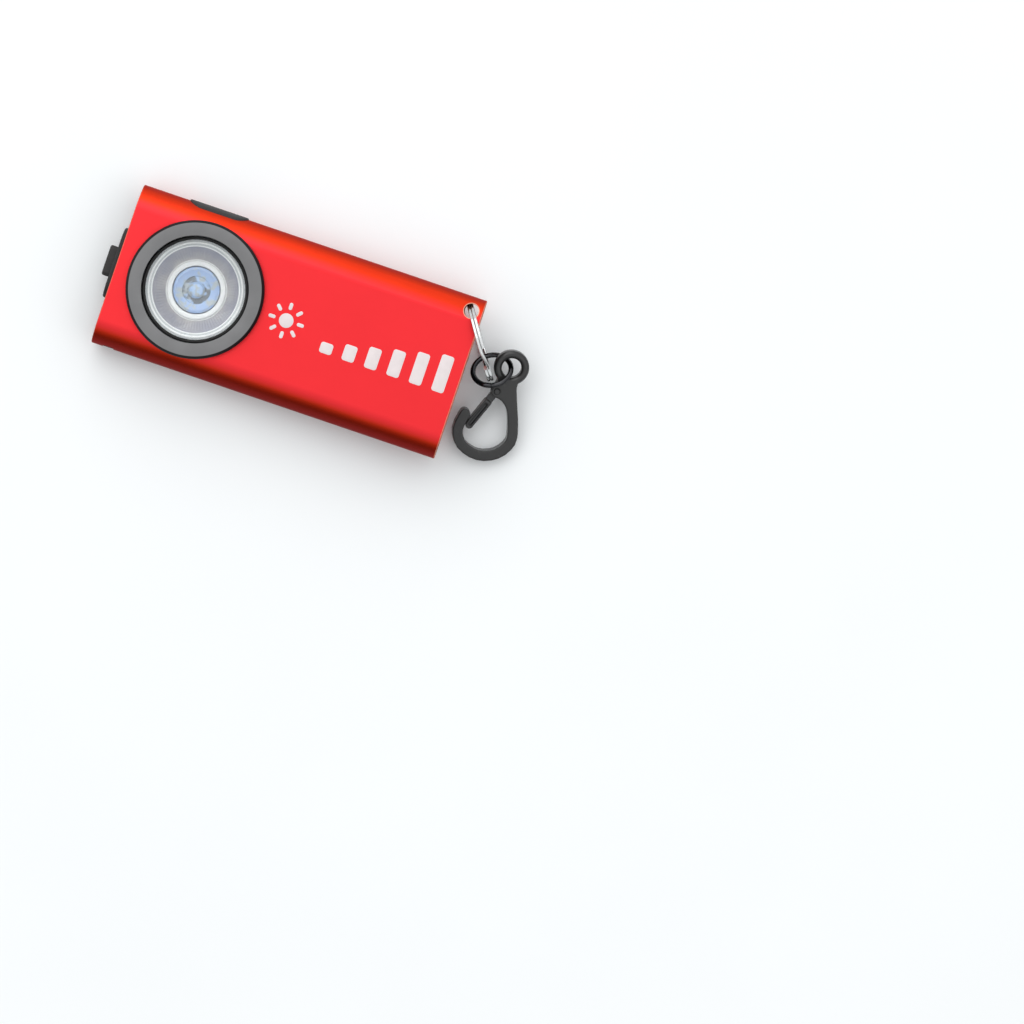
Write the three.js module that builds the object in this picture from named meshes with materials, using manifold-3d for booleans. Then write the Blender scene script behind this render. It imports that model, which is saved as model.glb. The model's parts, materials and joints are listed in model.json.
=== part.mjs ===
// Rechargeable keychain flashlight with its split ring, link ring and snap clip.
// Millimetres, +Z up. The origin is the centre of the flat back face of the body tube.
// +X runs along the tube towards the key-ring end, +Y towards the charging port, +Z out of the lens.

import * as THREE from 'three';
import { mergeVertices } from 'three/addons/utils/BufferGeometryUtils.js';
import Module from 'manifold-3d';

// ---------- driving dimensions ----------

// Body tube: an extrusion with full-round long sides.
const LENGTH = 62;
const WIDTH = 28.5;
const THICK = 8.8;
const WALL = 0.8;
const MID_Z = THICK / 2;
const X_BUTTON = -LENGTH / 2;
const X_RING = LENGTH / 2;
const SIDE_Y = WIDTH / 2;
const FLAT_Y = SIDE_Y - THICK / 2;

// Running gap between neighbouring pieces, and the thin gap under a seated piece.
const GAP = 0.1;
const SEAT = 0.05;

// How far a cutting tool runs past the surface that it cuts.
const PAST = 1;

// Lens end.
const LENS_X = -16.8;
const BEZEL_R = 11.87;
const BEZEL_TOP_R = 11.25;
const BEZEL_BORE_R = 9.15;
const BEZEL_TOP_Z = 10.5;
const COLLAR_R = 9.5;
const COLLAR_Z = 7.5;
const WINDOW_R = 8.55;
const WINDOW_TOP_Z = 8.75;
const WINDOW_THICK = 0.7;

// Push button.
const PAD_LONG = 12.5;
const PAD_HIGH = 5;
const PAD_PROUD = 0.75;
const BUTTON_LONG = 5.4;
const BUTTON_HIGH = 3;
const BUTTON_PROUD = 2.1;
const SWITCH_X = -28.1;

// Charging port and its cover.
const PORT_X = -17.45;
const COVER_LONG = 10.6;
const COVER_HIGH = 4.8;
const COVER_OUT_Y = SIDE_Y + 0.25;
const COVER_IN_Y = 13.5;
const USB_WIDE = 8.94;
const USB_HIGH = 3.16;
const USB_MOUTH_Y = 13;
const USB_BACK_Y = 7.2;

// Boards and cell.
const BOARD_Z = 1.5;
const BOARD_THICK = 0.8;
const BOARD_TOP = BOARD_Z + BOARD_THICK;
const CELL_X0 = -3.3;
const CELL_X1 = 23.3;
const CELL_HALF_Y = 9.5;
const CELL_Z0 = 1.7;
const CELL_Z1 = 6.6;

// Key-ring hole in the corner of the tube, and the rings.
const HOLE_X = 29;
const HOLE_Y = 11.75;
const HOLE_R = 1.25;
const HOLE_BEVEL = 0.25;
const POCKET_X = 28.5;
const POCKET_Y = 11.9;
const POCKET_R = 2.2;
const RING_R = 6.4;
const RING_RADIAL = 1;
const RING_AXIAL = 1.1;
const RING_OFFSET = 5.5;
const RING_HEADING = -56;

const LINK_R = 3.3;
const LINK_WIRE_R = 0.45;
const LINK_CENTRE = [35.5, 3.3, 1.9];
const LINK_HEADING = 30;
const LINK_TILT = 38;

// Snap clip, drawn flat in its own XY plane with the eye's centre at its origin.
const CLIP_THICK = 2;
const CLIP_CENTRE = [38.5, 4.85, 1.9];
const CLIP_TILT = 12;
const CLIP_ROLL = 10;
const CLIP_YAW = 3;
const EYE_HOLE_R = 1.7;
const EYE_R = 3.05;
const EYE_CHAMFER = 0.4;
const HOOK_WIDE = 1.8;
const GATE_PIVOT = [-1.25, -4.6];
const GATE_END = [-4.05, -11.6];
const GATE_SLOT = 1;
const [SLOT_OUT, SLOT_IN, SLOT_DOWN, SLOT_UP] = [4, 1.15, 3, 1.5];
const GATE_TAB = 0.8;
const GATE_THICK = 1.7;
const GATE_WIDE = 1.3;
const TAB_LONG = 2.2;
const GROOVE_INSET = 0.6;
const GROOVE_WIDE = 0.5;
const GROOVE_DEEP = 0.45;
const PIN_R = 0.45;
const PIN_BORE_R = PIN_R + 0.04;
const PIN_PROUD = 0.1;

// ---------- colours ----------

const COLOURS = {
  anodised_red: [0xd92a30, 0.35, 0.9],
  bezel_grey: [0x6d6e70, 0.45, 0.6],
  black_rubber: [0x17181a, 0.75, 0],
  black_plastic: [0x202124, 0.5, 0],
  clip_black: [0x2b2c2e, 0.4, 0.7],
  steel: [0xc4c7c9, 0.25, 1],
  clear: [0xe8eef2, 0.05, 0],
  reflector_white: [0xd6d6da, 0.3, 0],
  collimator_blue: [0xb4cdea, 0.1, 0],
  led_yellow: [0xe6d36a, 0.5, 0],
  board_green: [0x1f5c3a, 0.6, 0],
  board_white: [0xdedfdf, 0.5, 0],
  cell_silver: [0xb8bbc0, 0.4, 0.6],
  foam_grey: [0x55575a, 0.9, 0],
  pad_blue: [0x7f9fc4, 0.8, 0],
  wire_red: [0xb01818, 0.5, 0],
  wire_black: [0x141414, 0.5, 0],
  tape_amber: [0xb9791f, 0.4, 0],
};

// ---------- solids ----------

const wasm = await Module();
wasm.setup();

const torch = new THREE.Group();

/** Drops normals and uvs, merges shared corners and drops triangles of no area. */
function weld(source) {
  const geometry = source.clone();
  geometry.deleteAttribute('normal');
  geometry.deleteAttribute('uv');
  const merged = mergeVertices(geometry, 1e-4);
  const index = [];
  for (let i = 0; i < merged.index.count; i += 3) {
    const [a, b, c] = [0, 1, 2].map((k) => merged.index.getX(i + k));
    if (a !== b && b !== c && c !== a) index.push(a, b, c);
  }
  merged.setIndex(index);
  return merged;
}

/** Six times the enclosed volume: it is negative when the faces point in. */
function signedVolume(geometry) {
  const { index, attributes } = geometry;
  const corners = [new THREE.Vector3(), new THREE.Vector3(), new THREE.Vector3()];
  let sum = 0;
  for (let i = 0; i < index.count; i += 3) {
    corners.forEach((v, k) => v.fromBufferAttribute(attributes.position, index.getX(i + k)));
    sum += corners[0].dot(corners[1].cross(corners[2]));
  }
  return sum;
}

/** A geometry as a manifold solid with its faces pointing out. */
function solid(source) {
  const geometry = weld(source);
  const triVerts = Uint32Array.from(geometry.index.array);
  if (signedVolume(geometry) < 0) triVerts.reverse();
  const vertProperties = Float32Array.from(geometry.attributes.position.array);
  return new wasm.Manifold(new wasm.Mesh({ numProp: 3, vertProperties, triVerts }));
}

/** A manifold solid as a geometry. */
function geometryOf(manifold) {
  const mesh = manifold.getMesh();
  const geometry = new THREE.BufferGeometry();
  geometry.setAttribute('position', new THREE.BufferAttribute(Float32Array.from(mesh.vertProperties), 3));
  geometry.setIndex(new THREE.BufferAttribute(Uint32Array.from(mesh.triVerts), 1));
  return geometry;
}

const cut = (base, ...tools) => tools.reduce((body, tool) => body.subtract(solid(tool)), base);
const join = (base, ...pieces) => pieces.reduce((body, piece) => body.add(solid(piece)), base);

/** Adds one named piece. The shape is a geometry or a manifold solid. */
function piece(name, shape, colour, parent = torch) {
  const geometry = geometryOf(shape.isBufferGeometry ? solid(shape) : shape);
  geometry.computeVertexNormals();
  const [color, roughness, metalness] = COLOURS[colour];
  const mesh = new THREE.Mesh(geometry, new THREE.MeshStandardMaterial({ color, roughness, metalness }));
  mesh.name = name;
  parent.add(mesh);
  return mesh;
}

// ---------- shapes ----------

/** A slot outline: two half circles of the radius, joined by straights of twice halfFlat. */
function slotShape(halfFlat, radius) {
  const shape = new THREE.Shape();
  shape.absarc(halfFlat, 0, radius, -Math.PI / 2, Math.PI / 2);
  shape.absarc(-halfFlat, 0, radius, Math.PI / 2, (3 * Math.PI) / 2);
  shape.closePath();
  return shape;
}

/** A slot outline given by its overall length and height. */
const ovalShape = (long, high) => slotShape((long - high) / 2, high / 2);

/** A rectangle with round corners, centred on its origin. */
function roundedShape(wide, high, radius) {
  const [x, y] = [wide / 2 - radius, high / 2 - radius];
  const shape = new THREE.Shape();
  shape.absarc(x, -y, radius, -Math.PI / 2, 0);
  shape.absarc(x, y, radius, 0, Math.PI / 2);
  shape.absarc(-x, y, radius, Math.PI / 2, Math.PI);
  shape.absarc(-x, -y, radius, Math.PI, (3 * Math.PI) / 2);
  shape.closePath();
  return shape;
}

function withHole(shape, hole) {
  shape.holes.push(hole);
  return shape;
}

const extrude = (shape, depth, curveSegments) =>
  new THREE.ExtrudeGeometry(shape, { depth, curveSegments, bevelEnabled: false });

/** Extrudes an outline drawn in (Y, Z) along X, from x0 to x1. */
function alongX(shape, x0, x1, z = MID_Z, curveSegments = 6) {
  const basis = new THREE.Matrix4().makeBasis(
    new THREE.Vector3(0, 1, 0),
    new THREE.Vector3(0, 0, 1),
    new THREE.Vector3(1, 0, 0),
  );
  return extrude(shape, x1 - x0, curveSegments).applyMatrix4(basis).translate(x0, 0, z);
}

/** Extrudes an outline drawn in (X, Z) along Y, from y0 to y1, centred on x. */
function alongY(shape, y0, y1, x, z = MID_Z, curveSegments = 5) {
  const basis = new THREE.Matrix4().makeBasis(
    new THREE.Vector3(1, 0, 0),
    new THREE.Vector3(0, 0, 1),
    new THREE.Vector3(0, -1, 0),
  );
  return extrude(shape, y1 - y0, curveSegments).applyMatrix4(basis).translate(x, y1, z);
}

/** Extrudes an outline drawn in (X, Y) along Z, from z0 to z1. */
const alongZ = (shape, z0, z1, curveSegments = 6) =>
  extrude(shape, z1 - z0, curveSegments).translate(0, 0, z0);

/** A box given by its lowest and highest corners. */
function block(x0, x1, y0, y1, z0, z1) {
  return new THREE.BoxGeometry(x1 - x0, y1 - y0, z1 - z0)
    .translate((x0 + x1) / 2, (y0 + y1) / 2, (z0 + z1) / 2);
}

/** An upright cylinder. */
function post(x, y, radius, z0, z1, segments = 20) {
  return new THREE.CylinderGeometry(radius, radius, z1 - z0, segments)
    .rotateX(Math.PI / 2)
    .translate(x, y, (z0 + z1) / 2);
}

/** Turns a closed (radius, z) outline about the upright axis through (x, y). */
function turned(outline, x, y, segments = 48) {
  const points = outline.map(([r, z]) => new THREE.Vector2(r, z));
  return new THREE.LatheGeometry(points, segments).rotateX(Math.PI / 2).translate(x, y, 0);
}

/** A round wire along a smooth line through the points. */
function wire(points, radius, steps) {
  const path = new THREE.CatmullRomCurve3(points.map((p) => new THREE.Vector3(...p)));
  const section = new THREE.Shape();
  section.absarc(0, 0, radius, 0, Math.PI * 2);
  const settings = { extrudePath: path, steps, curveSegments: 4, bevelEnabled: false };
  return new THREE.ExtrudeGeometry(section, settings);
}

/** The tube's outer outline, made smaller all round by inset. */
const tubeOutline = (inset) => slotShape(FLAT_Y, THICK / 2 - inset);

const radians = THREE.MathUtils.degToRad;

// ---------- body tube and end caps ----------

// Snap tongue of the button-end cap, which locks in a window through the tube's -Y side.
const SNAP_X = -28;
const SNAP_LONG = 1.8;
const SNAP_HIGH = 2.4;
const SNAP_CORNER = 0.25;

// A level inside the hollow from which the windows in the long sides are cut outwards.
const HOLLOW_Y = 12;

// Gap all round the port cover, and where the key-ring hole's countersink begins above mid-height.
const COVER_GAP = 0.15;
const MOUTH_Z = 3.7;

/** The key-ring hole and the small countersink round its two mouths, set on the tube's round side. */
function keyHoleTools() {
  const countersink = [
    [0, MOUTH_Z],
    [HOLE_R, MOUTH_Z],
    [HOLE_R + 4 * HOLE_BEVEL, MOUTH_Z + 4 * HOLE_BEVEL],
    [0, MOUTH_Z + 4 * HOLE_BEVEL + PAST],
  ];
  const upper = turned(countersink, HOLE_X, HOLE_Y, 32);
  const lower = upper.clone().rotateX(Math.PI).translate(0, 2 * HOLE_Y, 0);
  return [
    post(HOLE_X, HOLE_Y, HOLE_R, -PAST, THICK + PAST, 32),
    upper.translate(0, 0, MID_Z),
    lower.translate(0, 0, MID_Z),
  ];
}

function bodyTube() {
  const shell = solid(alongX(withHole(tubeOutline(0), tubeOutline(WALL)), X_BUTTON, X_RING));
  const coverWindow = ovalShape(COVER_LONG + 2 * COVER_GAP, COVER_HIGH + 2 * COVER_GAP);
  const snapWindow = roundedShape(SNAP_LONG + 2 * GAP, SNAP_HIGH + 2 * GAP, SNAP_CORNER + SEAT);
  return cut(
    shell,
    post(LENS_X, 0, COLLAR_R + GAP, MID_Z, THICK + PAST, 48),
    ...keyHoleTools(),
    alongY(coverWindow, HOLLOW_Y, SIDE_Y + PAST, PORT_X),
    alongY(snapWindow, -SIDE_Y - PAST, -HOLLOW_Y, SNAP_X),
  );
}

// End caps: plugs that slide into the tube, each with a seal in a groove.
const CAP_FIT = WALL + 0.08;
const BUTTON_CAP_INNER_X = -27.2;
const RING_CAP_INNER_X = 25.8;
const PAD_SEAT_X = X_BUTTON + 0.9;
const BUTTON_SEAL_X = [-29.85, -29.25];
const RING_SEAL_X = [26.25, 26.85];
const GROOVE_DEPTH = 0.45;
const SEAL_FIT = 0.03;

// Corners of the moulded recesses, the button's play in its recess and the ring-end cap's hollow.
const BUTTON_CORNER = 0.7;
const FLANGE_MORE_Y = 1.2;
const FLANGE_MORE_Z = 0.8;
const FLANGE_PLAY = 0.2;
const CAP_HOLLOW_LONG = 17;
const CAP_HOLLOW_HIGH = 4;
const CAP_FACE = 1.4;

/** A band between two outlines of the tube, inset by different amounts. */
const band = (outer, inner, x0, x1) => alongX(withHole(tubeOutline(outer), tubeOutline(inner)), x0, x1);

const sealGroove = ([x0, x1]) => band(CAP_FIT - GAP, CAP_FIT + GROOVE_DEPTH, x0 - SEAT, x1 + SEAT);

const sealBand = ([x0, x1]) => band(WALL + SEAL_FIT, CAP_FIT + GROOVE_DEPTH - SEAL_FIT, x0, x1);

/** The round pocket that keeps the inside clear of the key-ring hole. */
const pocket = () => post(POCKET_X, POCKET_Y, POCKET_R, -PAST, THICK + PAST, 32);

function buttonEndCap() {
  const plug = solid(alongX(tubeOutline(CAP_FIT), X_BUTTON, BUTTON_CAP_INNER_X));
  const lug = alongY(roundedShape(SNAP_LONG, SNAP_HIGH, SNAP_CORNER), -SIDE_Y + GAP, -HOLLOW_Y, SNAP_X);
  const padSeat = ovalShape(PAD_LONG + 2 * GAP, PAD_HIGH + 2 * GAP);
  const flangeWell = roundedShape(
    BUTTON_LONG + FLANGE_MORE_Y + 2 * FLANGE_PLAY,
    BUTTON_HIGH + FLANGE_MORE_Z + 2 * FLANGE_PLAY,
    BUTTON_CORNER,
  );
  return cut(
    join(plug, lug),
    alongX(padSeat, X_BUTTON - PAST, PAD_SEAT_X),
    alongX(flangeWell, X_BUTTON - PAST, BUTTON_CAP_INNER_X + PAST),
    sealGroove(BUTTON_SEAL_X),
  );
}

function ringEndCap() {
  const plug = solid(alongX(tubeOutline(CAP_FIT), RING_CAP_INNER_X, X_RING));
  const hollow = alongX(
    ovalShape(CAP_HOLLOW_LONG, CAP_HOLLOW_HIGH),
    RING_CAP_INNER_X - PAST,
    X_RING - CAP_FACE,
  );
  return cut(plug, pocket(), sealGroove(RING_SEAL_X), hollow);
}

piece('body_tube', bodyTube(), 'anodised_red');
piece('button_end_cap', buttonEndCap(), 'black_plastic');
piece('ring_end_cap', ringEndCap(), 'black_plastic');
piece('button_end_seal', sealBand(BUTTON_SEAL_X), 'black_rubber');
piece('ring_end_seal', cut(solid(sealBand(RING_SEAL_X)), pocket()), 'black_rubber');

// ---------- push button ----------

const FLANGE_X0 = PAD_SEAT_X + SEAT;
const FLANGE_X1 = FLANGE_X0 + 0.65;
const TIP_GAP = 0.125;
const STEM = 1.8;
const STEM_CORNER = 0.4;

// Tactile switch behind the button.
const SWITCH_WIDE = 6;
const SWITCH_HIGH = 3.5;
const SWITCH_LONG = 2.6;
const SWITCH_CORNER = 0.3;
const SWITCH_LEG_Y = 2.2;
const PLUNGER_LONG = 2.6;
const PLUNGER_HIGH = 1.3;
const PLUNGER_PROUD = 0.85;
const PLUNGER_SUNK = 0.3;
const PLUNGER_PLAY = 0.15;
const WELL_SUNK = 0.9;

function buttonPad() {
  const window = roundedShape(BUTTON_LONG + 2 * TIP_GAP, BUTTON_HIGH + 2 * TIP_GAP, BUTTON_CORNER + GAP);
  const rim = alongX(ovalShape(PAD_LONG, PAD_HIGH), X_BUTTON - PAD_PROUD, PAD_SEAT_X - SEAT);
  return cut(solid(rim), alongX(window, X_BUTTON - PAD_PROUD - PAST, PAD_SEAT_X + PAST));
}

function powerButton() {
  const tipShape = roundedShape(BUTTON_LONG, BUTTON_HIGH, BUTTON_CORNER);
  const flangeShape = roundedShape(
    BUTTON_LONG + FLANGE_MORE_Y,
    BUTTON_HIGH + FLANGE_MORE_Z,
    BUTTON_CORNER,
  );
  const stemShape = roundedShape(STEM, STEM, STEM_CORNER);
  return join(
    solid(alongX(tipShape, X_BUTTON - BUTTON_PROUD, FLANGE_X1 - GAP)),
    alongX(flangeShape, FLANGE_X0, FLANGE_X1),
    alongX(stemShape, FLANGE_X1 - GAP, SWITCH_X - PLUNGER_PROUD - GAP),
  );
}

function switchLeg(y) {
  const x = SWITCH_X + SWITCH_LONG / 2;
  return block(x - 0.5, x + 0.5, y - 0.4, y + 0.4, BOARD_TOP + SEAT, MID_Z);
}

function switchBody() {
  const shape = roundedShape(SWITCH_WIDE, SWITCH_HIGH, SWITCH_CORNER);
  const wellShape = ovalShape(PLUNGER_LONG + 2 * PLUNGER_PLAY, PLUNGER_HIGH + 2 * PLUNGER_PLAY);
  const body = alongX(shape, SWITCH_X, SWITCH_X + SWITCH_LONG);
  return cut(
    join(solid(body), switchLeg(-SWITCH_LEG_Y), switchLeg(SWITCH_LEG_Y)),
    alongX(wellShape, SWITCH_X - PAST, SWITCH_X + WELL_SUNK),
  );
}

function switchPlunger() {
  const shape = ovalShape(PLUNGER_LONG, PLUNGER_HIGH);
  return alongX(shape, SWITCH_X - PLUNGER_PROUD, SWITCH_X + PLUNGER_SUNK);
}

piece('button_pad', buttonPad(), 'black_rubber');
piece('power_button', powerButton(), 'black_rubber');
piece('switch_body', switchBody(), 'black_plastic');
piece('switch_plunger', switchPlunger(), 'board_white');

// ---------- lens stack ----------

const BEZEL_RING = [
  [COLLAR_R, COLLAR_Z],
  [COLLAR_R, THICK + SEAT],
  [BEZEL_R, THICK + SEAT],
  [BEZEL_R, 9.85],
  [BEZEL_TOP_R, BEZEL_TOP_Z],
  [BEZEL_BORE_R + 0.12, BEZEL_TOP_Z],
  [BEZEL_BORE_R, BEZEL_TOP_Z - 0.12],
  [BEZEL_BORE_R, COLLAR_Z],
];

const WINDOW_BASE_Z = WINDOW_TOP_Z - WINDOW_THICK;
const REFLECTOR_TOP_Z = WINDOW_BASE_Z - SEAT;
const REFLECTOR = [
  [8.5, 6.9],
  [8.5, REFLECTOR_TOP_Z],
  [7.45, REFLECTOR_TOP_Z],
  [7.3, REFLECTOR_TOP_Z - 0.25],
  [4.95, 4.85],
  [4.8, 5.3],
  [4.1, 5.3],
  [4, 5.15],
  [4, 3.75],
  [4.9, 3.75],
  [6.9, 6.6],
];

const COLLIMATOR = [
  [0, 4.35],
  [1.9, 4.35],
  [1.9, 3.95],
  [3.85, 3.95],
  [3.85, 4.9],
  [3.4, 5.05],
  [2.35, 4.85],
  [2.25, 4.6],
  [1.6, 4.75],
  [1.15, 5.1],
  [1.05, 5.35],
  [0.6, 5.55],
  [0, 5.6],
];

const closed = (outline) => [...outline, outline[0]];

piece('bezel_ring', turned(closed(BEZEL_RING), LENS_X, 0, 48), 'bezel_grey');
piece(
  'lens_seal',
  turned(closed([[8.6, 7.7], [9.1, 7.7], [9.1, 9], [8.6, 9]]), LENS_X, 0, 40),
  'black_rubber',
);
piece('lens_window', post(LENS_X, 0, WINDOW_R, WINDOW_BASE_Z, WINDOW_TOP_Z, 40), 'clear');
piece('reflector', turned(closed(REFLECTOR), LENS_X, 0, 36), 'reflector_white');
piece('collimator_lens', turned(COLLIMATOR, LENS_X, 0, 24), 'collimator_blue');

// ---------- light source and boards ----------

const LED_BOARD_TOP = 3.1;
const LED_BOARD_R = 5.4;
const LED_HALF = 1.72;
const LED_BASE_TOP = LED_BOARD_TOP + 0.55;
const LED_DOME = [[0, 3.5], [1.3, 3.5], [1.25, 3.75], [0.95, 4.02], [0.5, 4.2], [0, 4.25]];

const BOARD_X0 = -27;
const BOARD_X1 = -5;
const BOARD_WIDE = 20.6;
const BOARD_CORNER = 0.8;
const BOARD_HOLES = [[-6.4, -8.8], [-25.6, -8.6]];
const BOARD_HOLE_R = 0.7;

const HEAT_PAD_HALF_X = 7;
const HEAT_PAD_HALF_Y = 6;

function ledEmitter() {
  const [x0, x1] = [LENS_X - LED_HALF, LENS_X + LED_HALF];
  const base = block(x0, x1, -LED_HALF, LED_HALF, LED_BOARD_TOP + SEAT, LED_BASE_TOP);
  return join(solid(base), turned(LED_DOME, LENS_X, 0, 16));
}

function mainBoard() {
  const outline = roundedShape(BOARD_X1 - BOARD_X0, BOARD_WIDE, BOARD_CORNER);
  const plate = alongZ(outline, BOARD_Z, BOARD_TOP, 3).translate((BOARD_X0 + BOARD_X1) / 2, 0, 0);
  const drill = ([x, y]) => post(x, y, BOARD_HOLE_R, BOARD_Z - PAST, BOARD_TOP + PAST, 12);
  return cut(solid(plate), ...BOARD_HOLES.map(drill));
}

function heatPad() {
  const [x0, x1] = [LENS_X - HEAT_PAD_HALF_X, LENS_X + HEAT_PAD_HALF_X];
  return block(x0, x1, -HEAT_PAD_HALF_Y, HEAT_PAD_HALF_Y, WALL + SEAT, BOARD_Z - SEAT);
}

piece('led_emitter', ledEmitter(), 'led_yellow');
piece('led_board', post(LENS_X, 0, LED_BOARD_R, BOARD_TOP + SEAT, LED_BOARD_TOP, 32), 'board_white');
piece('main_board', mainBoard(), 'board_green');
piece('heat_pad', heatPad(), 'pad_blue');

// Charge and driver chips: square packages with three legs on each of two sides.
const CHIP_X = -8;
const CHIP_SIDE = 3;
const CHIP_HIGH = 1;
const CHIP_LIFT = 0.15;
const CHIP_LEG_HIGH = 0.35;
const CHIP_LEG_HALF = 0.15;
const CHIP_LEG_OUT = 0.4;

/** A chip on the main board. Each leg is one strip that passes under the package and out on both sides. */
function chip(y) {
  const half = CHIP_SIDE / 2;
  const reach = half + CHIP_LEG_OUT;
  const body = block(
    CHIP_X - half, CHIP_X + half,
    y - half, y + half,
    BOARD_TOP + CHIP_LIFT, BOARD_TOP + CHIP_HIGH,
  );
  const legs = [-1, 0, 1].map((k) => {
    const x = CHIP_X + (k * CHIP_SIDE) / 4;
    return block(
      x - CHIP_LEG_HALF, x + CHIP_LEG_HALF,
      y - reach, y + reach,
      BOARD_TOP + SEAT, BOARD_TOP + CHIP_LEG_HIGH,
    );
  });
  return join(solid(body), ...legs);
}

piece('charge_chip', chip(5.2), 'black_plastic');
piece('driver_chip', chip(-5), 'black_plastic');

const COIL_X = -7.9;
const COIL_HALF = 2;
const COIL_R = 1.75;

function inductor() {
  const [x0, x1] = [COIL_X - COIL_HALF, COIL_X + COIL_HALF];
  const core = block(x0, x1, -COIL_HALF, COIL_HALF, BOARD_TOP + SEAT, BOARD_TOP + 0.9);
  return join(solid(core), post(COIL_X, 0, COIL_R, BOARD_TOP + 0.5, BOARD_TOP + 1.7, 24));
}

piece('power_inductor', inductor(), 'foam_grey');

const CAPACITORS = [[-24.7, 6.4], [-24.7, -6.4], [-11.2, 8.6]];
const CAPACITOR_HALF_X = 1;
const CAPACITOR_HALF_Y = 0.6;
const CAPACITOR_HIGH = 1.1;

function capacitor([x, y]) {
  return block(
    x - CAPACITOR_HALF_X, x + CAPACITOR_HALF_X,
    y - CAPACITOR_HALF_Y, y + CAPACITOR_HALF_Y,
    BOARD_TOP + SEAT, BOARD_TOP + CAPACITOR_HIGH,
  );
}

CAPACITORS.forEach((at, i) => piece(`capacitor_${i + 1}`, capacitor(at), 'tape_amber'));

// ---------- charging port ----------

const USB_SHEET = 0.3;
const USB_BACK = 0.6;
const USB_FIT = 0.08;
const USB_LEG_X = 3.3;
const TONGUE_HALF_X = 3.3;
const TONGUE_HALF_Z = 0.35;
const TONGUE_Y1 = 11.7;
const FRAME_Y0 = 11.2;
const FRAME_FIT = 0.06;
const PLUG_Y0 = 12.2;

// Half the length of the blanks that trim the frame and the cover to the tube's section.
const TRIM_HALF = 8;

function usbLeg(dx) {
  const x = PORT_X + dx;
  const top = MID_Z - USB_HIGH / 2 + 0.2;
  return block(x - 0.5, x + 0.5, USB_BACK_Y + 0.8, USB_BACK_Y + 2, BOARD_TOP + SEAT, top);
}

function usbShell() {
  const outer = alongY(ovalShape(USB_WIDE, USB_HIGH), USB_BACK_Y, USB_MOUTH_Y, PORT_X);
  const bore = ovalShape(USB_WIDE - 2 * USB_SHEET, USB_HIGH - 2 * USB_SHEET);
  const inner = alongY(bore, USB_BACK_Y + USB_BACK, USB_MOUTH_Y + PAST, PORT_X);
  return cut(join(solid(outer), usbLeg(-USB_LEG_X), usbLeg(USB_LEG_X)), inner);
}

function usbTongue() {
  const [x0, x1] = [PORT_X - TONGUE_HALF_X, PORT_X + TONGUE_HALF_X];
  const y0 = USB_BACK_Y + USB_BACK + SEAT;
  return block(x0, x1, y0, TONGUE_Y1, MID_Z - TONGUE_HALF_Z, MID_Z + TONGUE_HALF_Z);
}

/** A solid moulded surround that backs the cover and closes the gap between the shell and the tube. */
function portFrame() {
  const body = alongY(ovalShape(COVER_LONG + GAP, COVER_HIGH + GAP), FRAME_Y0, COVER_IN_Y - SEAT, PORT_X);
  const bore = ovalShape(USB_WIDE + 2 * USB_FIT, USB_HIGH + 2 * USB_FIT);
  const insideTube = alongX(tubeOutline(WALL + FRAME_FIT), PORT_X - TRIM_HALF, PORT_X + TRIM_HALF);
  return cut(
    solid(body).intersect(solid(insideTube)),
    alongY(bore, FRAME_Y0 - PAST, COVER_IN_Y + PAST, PORT_X),
  );
}

/** The cover's face follows the round side of the tube, standing slightly proud of it. */
function portCover() {
  const skinShape = slotShape(FLAT_Y, THICK / 2 + COVER_OUT_Y - SIDE_Y);
  const blank = alongY(ovalShape(COVER_LONG, COVER_HIGH), COVER_IN_Y, SIDE_Y + PAST, PORT_X, MID_Z, 12);
  const skin = alongX(skinShape, PORT_X - TRIM_HALF, PORT_X + TRIM_HALF, MID_Z, 20);
  const plug = alongY(ovalShape(USB_WIDE - 1.5, USB_HIGH - 1.1), PLUG_Y0, COVER_IN_Y + GAP, PORT_X);
  return join(solid(blank).intersect(solid(skin)), plug);
}

piece('usb_shell', usbShell(), 'steel');
piece('usb_tongue', usbTongue(), 'black_plastic');
piece('port_frame', portFrame(), 'black_plastic');
piece('port_cover', portCover(), 'black_rubber');

// ---------- battery ----------

const CELL_CORNER = 1.2;
const SEAM_LONG = 1.6;
const SEAM_HALF_Y = 8.5;
const TRAY_Z0 = WALL + 0.12;
const TRAY_HALF_Y = CELL_HALF_Y + 0.9;
const TRAY_STOP_TOP = 4.6;
const FOAM_HALF_Y = 7.5;

function batteryCell() {
  const section = roundedShape(CELL_HALF_Y * 2, CELL_Z1 - CELL_Z0, CELL_CORNER);
  const pouch = alongX(section, CELL_X0, CELL_X1, (CELL_Z0 + CELL_Z1) / 2, 4);
  const seam = block(
    CELL_X1 - 0.2, CELL_X1 + SEAM_LONG,
    -SEAM_HALF_Y, SEAM_HALF_Y,
    CELL_Z0 + 0.5, CELL_Z0 + 0.9,
  );
  return join(solid(pouch), seam);
}

function batteryTray() {
  const x0 = CELL_X0 - 1;
  const plate = block(x0, CELL_X1 + 2.1, -TRAY_HALF_Y, TRAY_HALF_Y, TRAY_Z0, CELL_Z0 - SEAT);
  const stop = block(x0, x0 + 0.8, -TRAY_HALF_Y, TRAY_HALF_Y, TRAY_Z0, TRAY_STOP_TOP);
  return join(solid(plate), stop);
}

function batteryFoam() {
  const [z0, z1] = [CELL_Z1 + SEAT, THICK - WALL - SEAT];
  return block(CELL_X0 + 2, CELL_X1 - 3, -FOAM_HALF_Y, FOAM_HALF_Y, z0, z1);
}

const PCM_X0 = CELL_X1 + 0.3;

piece('battery_cell', batteryCell(), 'cell_silver');
piece('battery_tray', batteryTray(), 'black_plastic');
piece('battery_foam', batteryFoam(), 'foam_grey');
piece('protection_board', block(PCM_X0, PCM_X0 + 1.7, -7, 7, 3, 3.8), 'board_green');

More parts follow.
